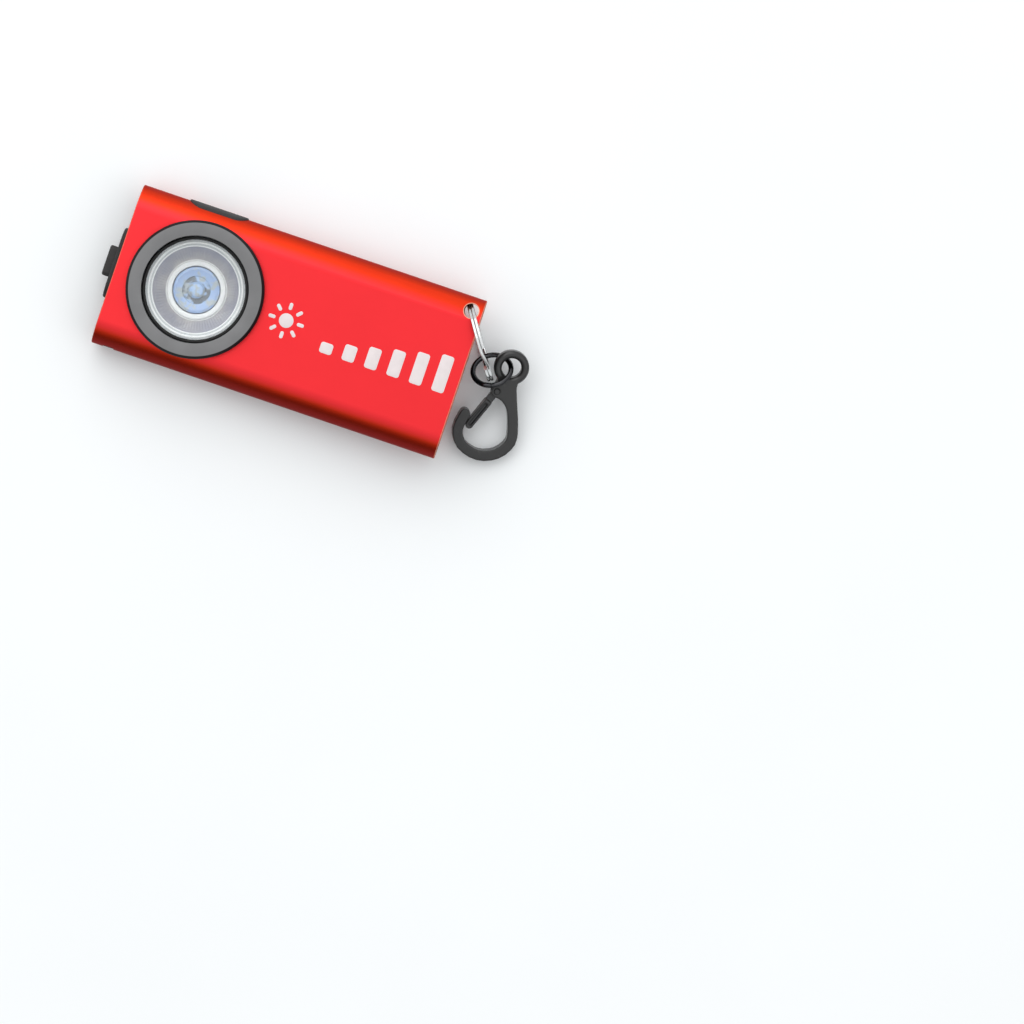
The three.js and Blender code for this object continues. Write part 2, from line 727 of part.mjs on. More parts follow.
// Each lead rises from the protection board, runs beside the cell and drops to the main board.
const LEAD_R = 0.4;
const LEADS = {
  red: { y: 10.05, end: 5.8, pad: 7.2 },
  black: { y: -10.05, end: -5.8, pad: -7.2 },
};

function leadRoute({ y, end, pad }) {
  return [
    [PCM_X0 + 0.9, end, 4.3],
    [PCM_X0 + 1.1, y * 0.9, 5.2],
    [PCM_X0 - 0.6, y, 6],
    [10, y, 6.1],
    [CELL_X0, y, 6],
    [CELL_X0 - 1.5, y * 0.93, 4.9],
    [CELL_X0 - 2.2, pad, 3.1],
  ];
}

for (const [colour, lead] of Object.entries(LEADS)) {
  piece(`battery_lead_${colour}`, wire(leadRoute(lead), LEAD_R, 26), `wire_${colour}`);
}

// ---------- split ring and link ring ----------

/** Outline of the split ring's two coils: a rounded rectangle with a shallow groove where they meet. */
function splitRing() {
  const [r0, r1] = [RING_R - RING_RADIAL / 2, RING_R + RING_RADIAL / 2];
  const half = RING_AXIAL / 2;
  const corner = 0.3;
  const groove = 0.06;
  const outline = [
    [r0 + corner, -half],
    [r1 - corner, -half],
    [r1, -half + corner],
    [r1, -groove],
    [r1 - groove, 0],
    [r1, groove],
    [r1, half - corner],
    [r1 - corner, half],
    [r0 + corner, half],
    [r0, half - corner],
    [r0, -half + corner],
  ];
  return turned(closed(outline), 0, 0, 48);
}

const ringGroup = new THREE.Group();
ringGroup.position.set(HOLE_X, HOLE_Y, MID_Z);
ringGroup.rotation.z = radians(RING_HEADING);
torch.add(ringGroup);
const ringMesh = piece('split_ring', splitRing(), 'steel', ringGroup);
ringMesh.position.x = RING_OFFSET;
ringMesh.rotation.x = Math.PI / 2;

const linkMesh = piece('link_ring', new THREE.TorusGeometry(LINK_R, LINK_WIRE_R, 8, 36), 'clip_black');
linkMesh.position.set(...LINK_CENTRE);
linkMesh.rotation.set(-radians(LINK_TILT), 0, radians(LINK_HEADING), 'ZYX');

// ---------- snap clip ----------

const clip = new THREE.Group();
clip.position.set(...CLIP_CENTRE);
clip.rotation.set(radians(CLIP_TILT), radians(CLIP_ROLL), radians(CLIP_YAW), 'ZYX');
torch.add(clip);

const flat = (shape, thick, curveSegments = 12) => alongZ(shape, -thick / 2, thick / 2, curveSegments);

/** Middle line of the hook, from its nose round the bow and up to the neck. */
const HOOK_LINE = [
  [-5.35, -9.9],
  [-5.75, -12.9],
  [-4.3, -15.3],
  [-1.1, -16.3],
  [2, -15.2],
  [3.7, -12.6],
  [3.2, -9.6],
  [1.9, -6],
  [0.9, -3.2],
];

/** Offsets a smooth middle line to both sides and closes it with a round nose. */
function stripShape(line, wide) {
  const curve = new THREE.SplineCurve(line.map((p) => new THREE.Vector2(...p)));
  const steps = 24;
  const [left, right] = [[], []];
  for (let i = 0; i <= steps; i += 1) {
    const at = curve.getPoint(i / steps);
    const along = curve.getTangent(i / steps);
    const across = new THREE.Vector2(-along.y, along.x).multiplyScalar(wide / 2);
    left.push(at.clone().add(across));
    right.unshift(at.clone().sub(across));
  }
  return new THREE.Shape([...left, ...right]);
}

/** The flat neck between the eye and the hook, with the shoulder that holds the gate's pin. */
function neckShape() {
  const shape = new THREE.Shape();
  shape.moveTo(-1.9, -2);
  shape.quadraticCurveTo(-1.5, -3.1, -2, -3.8);
  shape.quadraticCurveTo(-2.6, -5.6, -1.2, -5.7);
  shape.quadraticCurveTo(0.9, -5.7, 2.2, -9);
  shape.lineTo(2.6, -5.5);
  shape.quadraticCurveTo(1.6, -3.2, 1.9, -1.8);
  shape.lineTo(0, -2.1);
  shape.closePath();
  return shape;
}

/** The eye: a ring with chamfered edges. */
function eyeRing() {
  const half = CLIP_THICK / 2;
  const bevelled = half - EYE_CHAMFER;
  return turned(closed([
    [EYE_HOLE_R, -bevelled],
    [EYE_HOLE_R + EYE_CHAMFER, -half],
    [EYE_R - EYE_CHAMFER, -half],
    [EYE_R, -bevelled],
    [EYE_R, bevelled],
    [EYE_R - EYE_CHAMFER, half],
    [EYE_HOLE_R + EYE_CHAMFER, half],
    [EYE_HOLE_R, bevelled],
  ]), 0, 0, 36);
}

function clipBody() {
  const nose = post(...HOOK_LINE[0], HOOK_WIDE / 2, -CLIP_THICK / 2, CLIP_THICK / 2, 20);
  const body = join(
    solid(flat(stripShape(HOOK_LINE, HOOK_WIDE), CLIP_THICK)),
    nose,
    flat(neckShape(), CLIP_THICK, 6),
    eyeRing(),
  );
  const [x, y] = GATE_PIVOT;
  return cut(
    body,
    block(x - SLOT_OUT, x + SLOT_IN, y - SLOT_DOWN, y + SLOT_UP, -GATE_SLOT / 2, GATE_SLOT / 2),
    post(x, y, PIN_BORE_R, -CLIP_THICK, CLIP_THICK, 16),
  );
}

/** A straight bar's outline between two points. */
function barShape(from, to, wide) {
  const across = to.clone().sub(from).normalize().multiplyScalar(wide / 2);
  const side = new THREE.Vector2(-across.y, across.x);
  return new THREE.Shape([
    from.clone().add(side),
    to.clone().add(side),
    to.clone().sub(side),
    from.clone().sub(side),
  ]);
}

/** The gate: a thin round tab in the shoulder's slot and a thicker, grooved bar down to the nose. */
function clipGate() {
  const pivot = new THREE.Vector2(...GATE_PIVOT);
  const end = new THREE.Vector2(...GATE_END);
  const along = end.clone().sub(pivot).normalize();
  const barStart = pivot.clone().addScaledVector(along, TAB_LONG);
  const grooveStart = barStart.clone().addScaledVector(along, GROOVE_INSET);
  const grooveFloor = GATE_THICK / 2 - GROOVE_DEEP;
  return cut(
    join(
      solid(flat(barShape(pivot, end, GATE_WIDE), GATE_TAB)),
      post(pivot.x, pivot.y, GATE_WIDE / 2, -GATE_TAB / 2, GATE_TAB / 2, 20),
      flat(barShape(barStart, end, GATE_WIDE), GATE_THICK),
      post(end.x, end.y, GATE_WIDE / 2, -GATE_THICK / 2, GATE_THICK / 2, 20),
    ),
    alongZ(barShape(grooveStart, end, GROOVE_WIDE), grooveFloor, GATE_THICK),
    post(pivot.x, pivot.y, PIN_BORE_R, -CLIP_THICK, CLIP_THICK, 16),
  );
}

function gatePin() {
  const [x, y] = GATE_PIVOT;
  const half = CLIP_THICK / 2 + PIN_PROUD;
  return post(x, y, PIN_R, -half, half, 16);
}

piece('clip_body', clipBody(), 'clip_black', clip);
piece('clip_gate', clipGate(), 'clip_black', clip);
piece('clip_gate_pin', gatePin(), 'clip_black', clip);

export default torch;
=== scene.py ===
"""Looks of a keychain flashlight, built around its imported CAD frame.

Sizes in this file are millimetres in the CAD frame; MM turns them into Blender's metres.
+X runs along the tube towards the key ring, +Y towards the charging port, +Z out of the lens.
"""

import json
import math

import bmesh
import bpy
from mathutils import Matrix, Vector


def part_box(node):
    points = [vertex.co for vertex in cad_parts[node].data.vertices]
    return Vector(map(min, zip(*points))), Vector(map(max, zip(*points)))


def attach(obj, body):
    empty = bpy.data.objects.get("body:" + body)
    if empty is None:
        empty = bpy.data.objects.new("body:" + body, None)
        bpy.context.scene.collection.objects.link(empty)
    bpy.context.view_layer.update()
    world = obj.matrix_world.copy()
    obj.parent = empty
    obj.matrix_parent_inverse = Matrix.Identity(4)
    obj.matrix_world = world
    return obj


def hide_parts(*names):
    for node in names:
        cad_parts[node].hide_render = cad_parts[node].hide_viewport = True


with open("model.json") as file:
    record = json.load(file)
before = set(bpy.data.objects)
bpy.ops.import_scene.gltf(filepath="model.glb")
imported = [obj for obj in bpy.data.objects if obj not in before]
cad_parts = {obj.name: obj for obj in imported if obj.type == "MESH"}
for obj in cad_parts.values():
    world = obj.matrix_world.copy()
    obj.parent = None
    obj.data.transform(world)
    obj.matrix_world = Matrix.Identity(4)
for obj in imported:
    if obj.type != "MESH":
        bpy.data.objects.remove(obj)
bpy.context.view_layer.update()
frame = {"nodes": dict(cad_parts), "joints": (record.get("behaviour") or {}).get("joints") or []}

MM = 0.001
TAU = 2 * math.pi


# ---------- places and sizes read from the frame ----------


def corners(node):
    """A CAD node's lowest and highest corners in millimetres."""
    low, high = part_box(node)
    return low / MM, high / MM


def middle(node):
    low, high = corners(node)
    return (low + high) / 2


def joint(name):
    return next(j for j in frame["joints"] if j["name"] == name)


TUBE_LOW, TUBE_HIGH = corners("body_tube")
MID_Z = (TUBE_LOW.z + TUBE_HIGH.z) / 2
SIDE_R = (TUBE_HIGH.z - TUBE_LOW.z) / 2
FLAT_Y = TUBE_HIGH.y - SIDE_R
WALL = 0.8

LENS = middle("bezel_ring").xy
BEZEL_LOW, BEZEL_HIGH = corners("bezel_ring")
BEZEL_R = (BEZEL_HIGH.x - BEZEL_LOW.x) / 2
BEZEL_BORE_R = 9.15
BEZEL_CHAMFER = 0.46
COLLAR_R = 9.5

HOLE = Vector(joint("ring_swing")["pos_m"]) / MM
HOLE_R = 1.25

CLIP_NORMAL = Vector(joint("gate_open")["axis"]).normalized()


# ---------- outlines ----------


def arc(x, y, radius, start, end, steps):
    """Points on an arc, given in degrees, with both ends."""
    turns = [math.radians(start + (end - start) * i / steps) for i in range(steps + 1)]
    return [(x + radius * math.cos(t), y + radius * math.sin(t)) for t in turns]


def circle(x, y, radius, steps=64):
    return arc(x, y, radius, 0, 360, steps)[:-1]


def slot_loop(half_flat, radius, steps=24):
    """Two half circles joined by straights, longest along the first axis."""
    right = arc(half_flat, 0, radius, -90, 90, steps)
    left = arc(-half_flat, 0, radius, 90, 270, steps)
    return right + left


def oval(long, high, steps=20):
    return slot_loop((long - high) / 2, high / 2, steps)


def rounded(wide, high, radius, steps=8):
    """A rectangle with round corners, centred on its origin."""
    x, y = wide / 2 - radius, high / 2 - radius
    return (
        arc(x, -y, radius, -90, 0, steps)
        + arc(x, y, radius, 0, 90, steps)
        + arc(-x, y, radius, 90, 180, steps)
        + arc(-x, -y, radius, 180, 270, steps)
    )


def moved(loop, x, y):
    return [(px + x, py + y) for px, py in loop]


def filleted(points, radius, steps=4):
    """Rounds the corners of a closed outline. A point is (u, v), or (u, v, its own radius)."""
    made = []
    for i, point in enumerate(points):
        here = Vector(point[:2])
        back = Vector(points[i - 1][:2]) - here
        ahead = Vector(points[(i + 1) % len(points)][:2]) - here
        own = point[2] if len(point) > 2 else radius
        half = back.angle(ahead) / 2
        if own <= 0 or half > math.radians(89):
            made.append(tuple(here))
            continue
        reach = min(own / math.tan(half), 0.48 * min(back.length, ahead.length))
        own = reach * math.tan(half)
        centre = here + (back.normalized() + ahead.normalized()).normalized() * own / math.sin(half)
        start = here + back.normalized() * reach - centre
        sweep = math.pi - 2 * half
        sign = 1 if back.x * ahead.y - back.y * ahead.x < 0 else -1
        for k in range(steps + 1):
            spoke = start.copy()
            spoke.rotate(Matrix.Rotation(sign * sweep * k / steps, 2))
            made.append(tuple(centre + spoke))
    return made


# ---------- meshes ----------


def tidy_mesh(mesh):
    """Merges doubled points, drops faces of no area and points every face outwards."""
    work = bmesh.new()
    work.from_mesh(mesh)
    bmesh.ops.remove_doubles(work, verts=work.verts, dist=0.0005 * MM)
    bmesh.ops.dissolve_degenerate(work, edges=work.edges, dist=0.0005 * MM)
    bmesh.ops.recalc_face_normals(work, faces=work.faces)
    work.to_mesh(mesh)
    work.free()


def link_object(name, mesh):
    obj = bpy.data.objects.new(name, mesh)
    bpy.context.scene.collection.objects.link(obj)
    return obj


def solid(name, points, faces):
    """An object from points in millimetres."""
    mesh = bpy.data.meshes.new(name)
    mesh.from_pydata([Vector(p) * MM for p in points], [], faces)
    tidy_mesh(mesh)
    return link_object(name, mesh)


def ring_faces(count, size, closed):
    """Quads between count rings of size points each."""
    faces = []
    for i in range(count if closed else count - 1):
        for j in range(size):
            a, b = i * size, (i + 1) % count * size
            k = (j + 1) % size
            faces.append((a + j, a + k, b + k, b + j))
    return faces


def lathe(name, profile, centre=LENS, segments=144, shape=None):
    """Turns a closed (radius, height) outline about an upright line. Shape may move each point."""
    points = []
    for i in range(segments):
        turn = TAU * i / segments
        for radius, height in profile:
            if shape:
                radius, height = shape(radius, height, turn)
            points.append(
                (centre[0] + radius * math.cos(turn), centre[1] + radius * math.sin(turn), height)
            )
    return solid(name, points, ring_faces(segments, len(profile), True))


def swept(name, section, stations):
    """Carries a closed section along stations of (centre, first axis, second axis) and caps both ends."""
    points = [c + a * u + b * v for c, u, v in stations for a, b in section]
    size = len(section)
    faces = ring_faces(len(stations), size, False)
    faces.append(tuple(range(size)))
    faces.append(tuple(range(len(points) - size, len(points))))
    return solid(name, points, faces)


FACING = {
    "X": Matrix(((0, 0, 1), (1, 0, 0), (0, 1, 0))),
    "Y": Matrix(((1, 0, 0), (0, 0, -1), (0, 1, 0))),
    "Z": Matrix.Identity(3),
}


def evaluated_mesh(obj):
    """A mesh of the object with its curve's thickness or its modifiers applied."""
    bpy.context.view_layer.update()
    graph = bpy.context.evaluated_depsgraph_get()
    return bpy.data.meshes.new_from_object(obj.evaluated_get(graph))


def plate(name, loops, low, high, edge=0.1, facing="Z", rounds=3):
    """Closed loops filled and extruded from low to high with rounded edges.

    Facing X draws the loops in (Y, Z), facing Y in (X, Z) and facing Z in (X, Y).
    """
    curve = bpy.data.curves.new(name, "CURVE")
    curve.dimensions = "2D"
    curve.fill_mode = "BOTH"
    curve.extrude = ((high - low) / 2 - edge) * MM
    curve.bevel_depth = edge * MM
    curve.offset = -edge * MM
    curve.bevel_resolution = rounds
    for loop in loops:
        spline = curve.splines.new("POLY")
        spline.points.add(len(loop) - 1)
        for point, (u, v) in zip(spline.points, loop):
            point.co = (u * MM, v * MM, 0, 1)
        spline.use_cyclic_u = True
    holder = link_object(name + "_outline", curve)
    mesh = evaluated_mesh(holder)
    bpy.data.objects.remove(holder)
    bpy.data.curves.remove(curve)
    lift = (low + high) / 2 * (-1 if facing == "Y" else 1)
    mesh.transform(Matrix.Translation((0, 0, lift * MM)))
    mesh.transform(FACING[facing].to_4x4())
    tidy_mesh(mesh)
    mesh.name = name
    return link_object(name, mesh)


def carve(obj, *tools):
    """Cuts the tools out of the object and deletes them."""
    for tool in tools:
        modifier = obj.modifiers.new("cut", "BOOLEAN")
        modifier.operation = "DIFFERENCE"
        modifier.solver = "EXACT"
        modifier.object = tool
    bake_modifiers(obj)
    for tool in tools:
        bpy.data.objects.remove(tool)
    return obj


def bake_modifiers(obj):
    mesh = evaluated_mesh(obj)
    obj.modifiers.clear()
    obj.data = mesh
    mesh.name = obj.name


def joined(name, *parts):
    """Several closed solids as the one piece that they make."""
    work = bmesh.new()
    for part in parts:
        work.from_mesh(part.data)
        bpy.data.objects.remove(part)
    mesh = bpy.data.meshes.new(name)
    work.to_mesh(mesh)
    work.free()
    return link_object(name, mesh)


def place(obj, paint, body, slot, *replaced, sharp=32):
    """Gives a piece its material and shading, its body and the CAD nodes it stands for. The slot is not
    used.
    """
    obj.data.materials.clear()
    obj.data.materials.append(paint)
    obj.data.shade_smooth()
    obj.data.set_sharp_from_angle(angle=math.radians(sharp))
    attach(obj, body)
    if replaced:
        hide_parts(*replaced)


# ---------- materials ----------


class Paint:
    """A node material round one Principled shader, with short ways to add nodes, in millimetres."""

    def __init__(self, name, colour=(0.8, 0.8, 0.8), rough=0.5, metal=0.0, **constants):
        self.material = bpy.data.materials.new(name)
        self.material.use_nodes = True
        self.tree = self.material.node_tree
        self.tree.nodes.clear()
        self.output = self.tree.nodes.new("ShaderNodeOutputMaterial")
        self.shader = self.tree.nodes.new("ShaderNodeBsdfPrincipled")
        self.tree.links.new(self.shader.outputs[0], self.output.inputs["Surface"])
        self.set("Base Color", colour)
        self.set("Roughness", rough)
        self.set("Metallic", metal)
        for socket, value in constants.items():
            self.set(socket.replace("_", " "), value)
        texture = self.tree.nodes.new("ShaderNodeTexCoord")
        scale = self.tree.nodes.new("ShaderNodeVectorMath")
        scale.operation = "SCALE"
        scale.inputs["Scale"].default_value = 1 / MM
        self.tree.links.new(texture.outputs["Object"], scale.inputs[0])
        self.place = scale.outputs[0]

    def feed(self, socket, value):
        """Puts a constant or another node's output into a socket."""
        if isinstance(value, bpy.types.NodeSocket):
            self.tree.links.new(value, socket)
        elif isinstance(value, (tuple, list)) and len(value) == 3 and socket.type == "RGBA":
            socket.default_value = (*value, 1)
        else:
            socket.default_value = value

    def set(self, name, value):
        self.feed(self.shader.inputs[name], value)

    def math(self, operation, first, second=0.0):
        node = self.tree.nodes.new("ShaderNodeMath")
        node.operation = operation
        self.feed(node.inputs[0], first)
        self.feed(node.inputs[1], second)
        return node.outputs[0]

    def span(self, value, low, high, to_low=0.0, to_high=1.0):
        """Maps low..high smoothly to to_low..to_high."""
        node = self.tree.nodes.new("ShaderNodeMapRange")
        node.interpolation_type = "SMOOTHSTEP"
        self.feed(node.inputs["Value"], value)
        limits = {"From Min": low, "From Max": high, "To Min": to_low, "To Max": to_high}
        for name, number in limits.items():
            node.inputs[name].default_value = number
        return node.outputs["Result"]

    def stretched(self, scale, turn=0.0):
        """The object's coordinates, turned about Z and scaled by different amounts along the axes."""
        node = self.tree.nodes.new("ShaderNodeMapping")
        self.tree.links.new(self.place, node.inputs["Vector"])
        node.inputs["Scale"].default_value = scale
        node.inputs["Rotation"].default_value = (0, 0, turn)
        return node.outputs[0]

    def noise(self, size, detail=3.0, rough=0.55, vector=None):
        """Noise with features of about the size given."""
        node = self.tree.nodes.new("ShaderNodeTexNoise")
        self.tree.links.new(vector or self.place, node.inputs["Vector"])
        node.inputs["Scale"].default_value = 1 / size
        node.inputs["Detail"].default_value = detail
        node.inputs["Roughness"].default_value = rough
        return node.outputs["Fac"]

    def axes(self):
        node = self.tree.nodes.new("ShaderNodeSeparateXYZ")
        self.tree.links.new(self.place, node.inputs[0])
        return node.outputs

    def facing(self, axis):
        """How much the surface faces along an axis (0, 1 or 2), either way, from 0 to 1."""
        geometry = self.tree.nodes.new("ShaderNodeNewGeometry")
        turned = self.tree.nodes.new("ShaderNodeVectorTransform")
        turned.vector_type = "NORMAL"
        turned.convert_from = "WORLD"
        turned.convert_to = "OBJECT"
        self.tree.links.new(geometry.outputs["Normal"], turned.inputs[0])
        split = self.tree.nodes.new("ShaderNodeSeparateXYZ")
        self.tree.links.new(turned.outputs[0], split.inputs[0])
        return self.math("ABSOLUTE", split.outputs[axis])

    def mix(self, factor, first, second):
        node = self.tree.nodes.new("ShaderNodeMix")
        node.data_type = "RGBA"
        self.feed(node.inputs["Factor"], factor)
        colours = [s for s in node.inputs if s.type == "RGBA"]
        self.feed(colours[0], first)
        self.feed(colours[1], second)
        return next(s for s in node.outputs if s.type == "RGBA")

    def radius(self, centre):
        """Distance from an upright line."""
        x, y, _ = self.axes()
        dx = self.math("SUBTRACT", x, centre[0])
        dy = self.math("SUBTRACT", y, centre[1])
        square = self.math("ADD", self.math("MULTIPLY", dx, dx), self.math("MULTIPLY", dy, dy))
        return self.math("SQRT", square)

    def bump(self, *layers):
        """Adds relief. Each layer is (a height from 0 to 1, how deep it is in millimetres)."""
        normal = None
        for height, depth in layers:
            node = self.tree.nodes.new("ShaderNodeBump")
            node.inputs["Strength"].default_value = 1.0
            node.inputs["Distance"].default_value = depth * MM
            self.feed(node.inputs["Height"], height)
            if normal is not None:
                self.tree.links.new(normal, node.inputs["Normal"])
            normal = node.outputs[0]
        self.tree.links.new(normal, self.shader.inputs["Normal"])
        return self

    def vary(self, colour, size, amount):
        """A colour that drifts lighter and darker over features of a size."""
        light = tuple(min(1, c * (1 + amount)) for c in colour)
        dark = tuple(c * (1 - amount) for c in colour)
        return self.mix(self.span(self.noise(size), 0.3, 0.7), dark, light)


# Where the painted shade on the tube's -Y side begins and where it is full.
SHADE_FROM_Y, SHADE_TO_Y = -11.2, -13.2
EDGE_WEAR = 0.12


def anodised_red():
    """Bead-blasted red aluminium, worn to bare metal on its cut edges, with painted light: the flat face is
    painted pinker as a painted reflection, and painted shade darkens the rounded sides and, most, the -Y
    side.
    """
    paint = Paint("anodised_red", metal=0.85, rough=0.40, Coat_Weight=0.08, Coat_Roughness=0.3)
    paint.set("Specular Tint", (0.80, 0.22, 0.12))
    up = paint.facing(2)
    # Painted light: the flat face is a pinker copy of the red, a painted reflection; the rounds get an
    # orange copy, and surfaces turned away from overhead get a dark copy as painted shade.
    face = paint.vary((0.77, 0.029, 0.036), 9, 0.012)
    shoulder = paint.vary((0.76, 0.036, 0.008), 7, 0.02)
    side = paint.mix(paint.span(up, 0.35, 0.82), (0.40, 0.030, 0.006), shoulder)
    x, y, _ = paint.axes()
    # Painted shade: the -Y side is painted darker still.
    side = paint.mix(paint.span(y, SHADE_FROM_Y, SHADE_TO_Y), side, (0.20, 0.008, 0.001))
    colour = paint.mix(paint.span(up, 0.86, 0.995), side, face)
    reach = paint.math("ADD", paint.math("ABSOLUTE", x), paint.math("MULTIPLY", paint.noise(0.5), 0.1))
    worn = paint.span(reach, TUBE_HIGH.x - EDGE_WEAR, TUBE_HIGH.x)
    worn = paint.math("MULTIPLY", worn, paint.span(x, TUBE_LOW.x, TUBE_HIGH.x, 0.35, 0.75))
    worn = paint.math("MULTIPLY", worn, paint.span(paint.facing(0), 0.985, 0.9))
    lip = paint.span(paint.radius(HOLE), HOLE_R + 0.2, HOLE_R + 0.08)
    paint.set("Base Color", paint.mix(paint.math("MAXIMUM", worn, lip), colour, (0.80, 0.42, 0.30)))
    scuffs = paint.noise(1.0, 4, 0.7, paint.stretched((0.25, 2.2, 1), turn=0.5))
    paint.set("Roughness", paint.span(paint.noise(2.5, 4), 0.2, 0.8, 0.385, 0.425))
    return paint.bump((paint.noise(0.07, 2), 0.004), (scuffs, 0.002)).material


def bezel_grey():
    """Satin grey anodising. Its outer chamfer and the wall of its bore are painted near-black as painted
    shade.
    """
    paint = Paint("bezel_grey", metal=0.35, rough=0.45, Coat_Weight=0.05, Coat_Roughness=0.3)
    radius = paint.radius(LENS)
    grey = paint.vary((0.160, 0.160, 0.162), 5, 0.06)
    # Painted shade: near-black over the outer chamfer and on the bore's wall and inner edge, with less
    # reflection there.
    chamfer_shade = paint.span(radius, BEZEL_R - BEZEL_CHAMFER - 0.04, BEZEL_R - BEZEL_CHAMFER + 0.04)
    bore = paint.span(radius, BEZEL_BORE_R + 0.1, BEZEL_BORE_R + 0.03)
    dark = paint.math("MAXIMUM", chamfer_shade, bore)
    paint.set("Base Color", paint.mix(dark, grey, (0.008, 0.008, 0.009)))
    paint.set("Specular IOR Level", paint.span(dark, 0, 1, 0.5, 0.2))
    paint.set("Roughness", paint.span(paint.noise(1.4, 4), 0.2, 0.8, 0.38, 0.50))
    return paint.bump((paint.noise(0.06, 2), 0.003)).material


def rubber(name, colour, grain=0.09):
    paint = Paint(name, rough=0.62, Specular_IOR_Level=0.4)
    paint.set("Base Color", paint.vary(colour, 1.2, 0.06))
    paint.set("Roughness", paint.span(paint.noise(0.8, 4), 0.2, 0.8, 0.58, 0.66))
    return paint.bump((paint.noise(grain, 3), 0.008)).material


def plastic(name, colour, rough=0.45, grain=0.06):
    paint = Paint(name, rough=rough)
    paint.set("Base Color", paint.vary(colour, 2.0, 0.07))
    paint.set("Roughness", paint.span(paint.noise(0.7, 4), 0.2, 0.8, rough - 0.07, rough + 0.07))
    return paint.bump((paint.noise(grain, 3), 0.004)).material


def plated(name, colour, rough, wear):
    """Plated steel with fine rubbed streaks and a few duller patches."""
    paint = Paint(name, metal=1.0, rough=rough)
    patches = paint.noise(1.6, 5, 0.65)
    worn = tuple(c * wear for c in colour)
    paint.set("Base Color", paint.mix(paint.span(patches, 0.45, 0.7), colour, worn))
    paint.set("Roughness", paint.span(patches, 0.3, 0.75, rough * 0.7, rough * 1.7))
    streaks = paint.noise(0.25, 3, 0.6, paint.stretched((1, 1, 0.2)))
    return paint.bump((streaks, 0.003), (paint.noise(0.8, 2), 0.006)).material


def black_clip():
    """Die-cast zinc under a satin black finish that greys where it rubs."""
    paint = Paint("black_clip", metal=0.55, rough=0.34, Coat_Weight=0.4, Coat_Roughness=0.12)
    rubbed = paint.span(paint.noise(1.1, 5, 0.7), 0.55, 0.75, 0, 0.5)
    paint.set("Base Color", paint.mix(rubbed, (0.024, 0.024, 0.024), (0.058, 0.056, 0.053)))
    paint.set("Roughness", paint.span(paint.noise(0.6, 4), 0.2, 0.8, 0.3, 0.46))
    return paint.bump((paint.noise(0.12, 3), 0.006), (paint.noise(0.9, 2), 0.012)).material


def frosted_cone():
    """The flood reflector: white plastic whose fluted cone looks grey and faintly violet."""
    paint = Paint("reflector_plastic", rough=0.22, Coat_Weight=0.3, Coat_Roughness=0.12)
    radius = paint.radius(LENS)
    cone = paint.math("MULTIPLY", paint.span(radius, 4.95, 5.2), paint.span(radius, 7.42, 7.3))
    shade = paint.mix(paint.span(radius, 4.9, 7.4), (0.42, 0.40, 0.40), (0.33, 0.32, 0.345))
    drift = paint.mix(paint.span(paint.noise(3.0, 2), 0.3, 0.7), shade, (0.28, 0.28, 0.32))
    ridge = paint.math("MULTIPLY", paint.span(radius, 7.82, 7.88), paint.span(radius, 8.22, 8.16))
    lip = paint.span(radius, 7.6, 7.5)
    light = paint.mix(paint.math("MAXIMUM", ridge, lip), (0.46, 0.48, 0.49), (0.80, 0.81, 0.80))
    paint.set("Base Color", paint.mix(cone, light, drift))
    return paint.bump((paint.noise(0.2, 2), 0.003)).material


def blue_optic():
    """The clear spot optic, which picks up blue, with grey arcs round its central lens."""
    paint = Paint("clear_optic", rough=0.08, Coat_Weight=0.5, Coat_Roughness=0.05)
    radius = paint.radius(LENS)
    blue = paint.mix(paint.span(radius, 1.1, 3.8), (0.38, 0.53, 0.76), (0.30, 0.42, 0.66))
    cloud = paint.mix(paint.span(paint.noise(1.5, 2), 0.48, 0.62), blue, (0.40, 0.45, 0.48))
    band = paint.math("MULTIPLY", paint.span(radius, 1.25, 1.5), paint.span(radius, 2.45, 2.2))
    arcs = paint.math("MULTIPLY", band, paint.span(paint.noise(1.3, 1), 0.42, 0.56))
    paint.set("Base Color", paint.mix(arcs, cloud, (0.15, 0.17, 0.19)))
    return paint.bump((paint.noise(0.6, 1), 0.01)).material


def clear_window():
    """Clear polished plastic. Light from the lamps passes straight through it."""
    paint = Paint("clear_window", (0.97, 0.985, 0.99), 0.02, Transmission_Weight=1.0, IOR=1.45)
    paint.set("Roughness", paint.span(paint.noise(3, 2), 0.4, 0.8, 0.015, 0.03))
    nodes, links = paint.tree.nodes, paint.tree.links
    clear = nodes.new("ShaderNodeBsdfTransparent")
    lamp = nodes.new("ShaderNodeLightPath")
    choice = nodes.new("ShaderNodeMixShader")
    links.new(lamp.outputs["Is Shadow Ray"], choice.inputs[0])
    links.new(paint.shader.outputs[0], choice.inputs[1])
    links.new(clear.outputs[0], choice.inputs[2])
    links.new(choice.outputs[0], paint.output.inputs["Surface"])
    return paint.material


def white_print():
    """Screen-printed ink with a faint mesh texture."""
    paint = Paint("white_print", rough=0.5)
    paint.set("Base Color", paint.vary((0.70, 0.63, 0.63), 1.5, 0.03))
    return paint.bump((paint.noise(0.12, 2), 0.004)).material


RED = anodised_red()
GREY = bezel_grey()
RUBBER = rubber("black_rubber", (0.022, 0.021, 0.021))
SEAL_RUBBER = rubber("seal_rubber", (0.009, 0.009, 0.009))
BLACK_PLASTIC = plastic("black_plastic", (0.030, 0.030, 0.032))
STEEL = plated("nickel_steel", (0.66, 0.67, 0.67), 0.16, 0.75)
BLACK_NICKEL = plated("black_nickel", (0.045, 0.045, 0.048), 0.14, 1.3)
CLIP_BLACK = black_clip()
CONE = frosted_cone()
OPTIC = blue_optic()
WINDOW = clear_window()
PRINT = white_print()


# ---------- body tube ----------

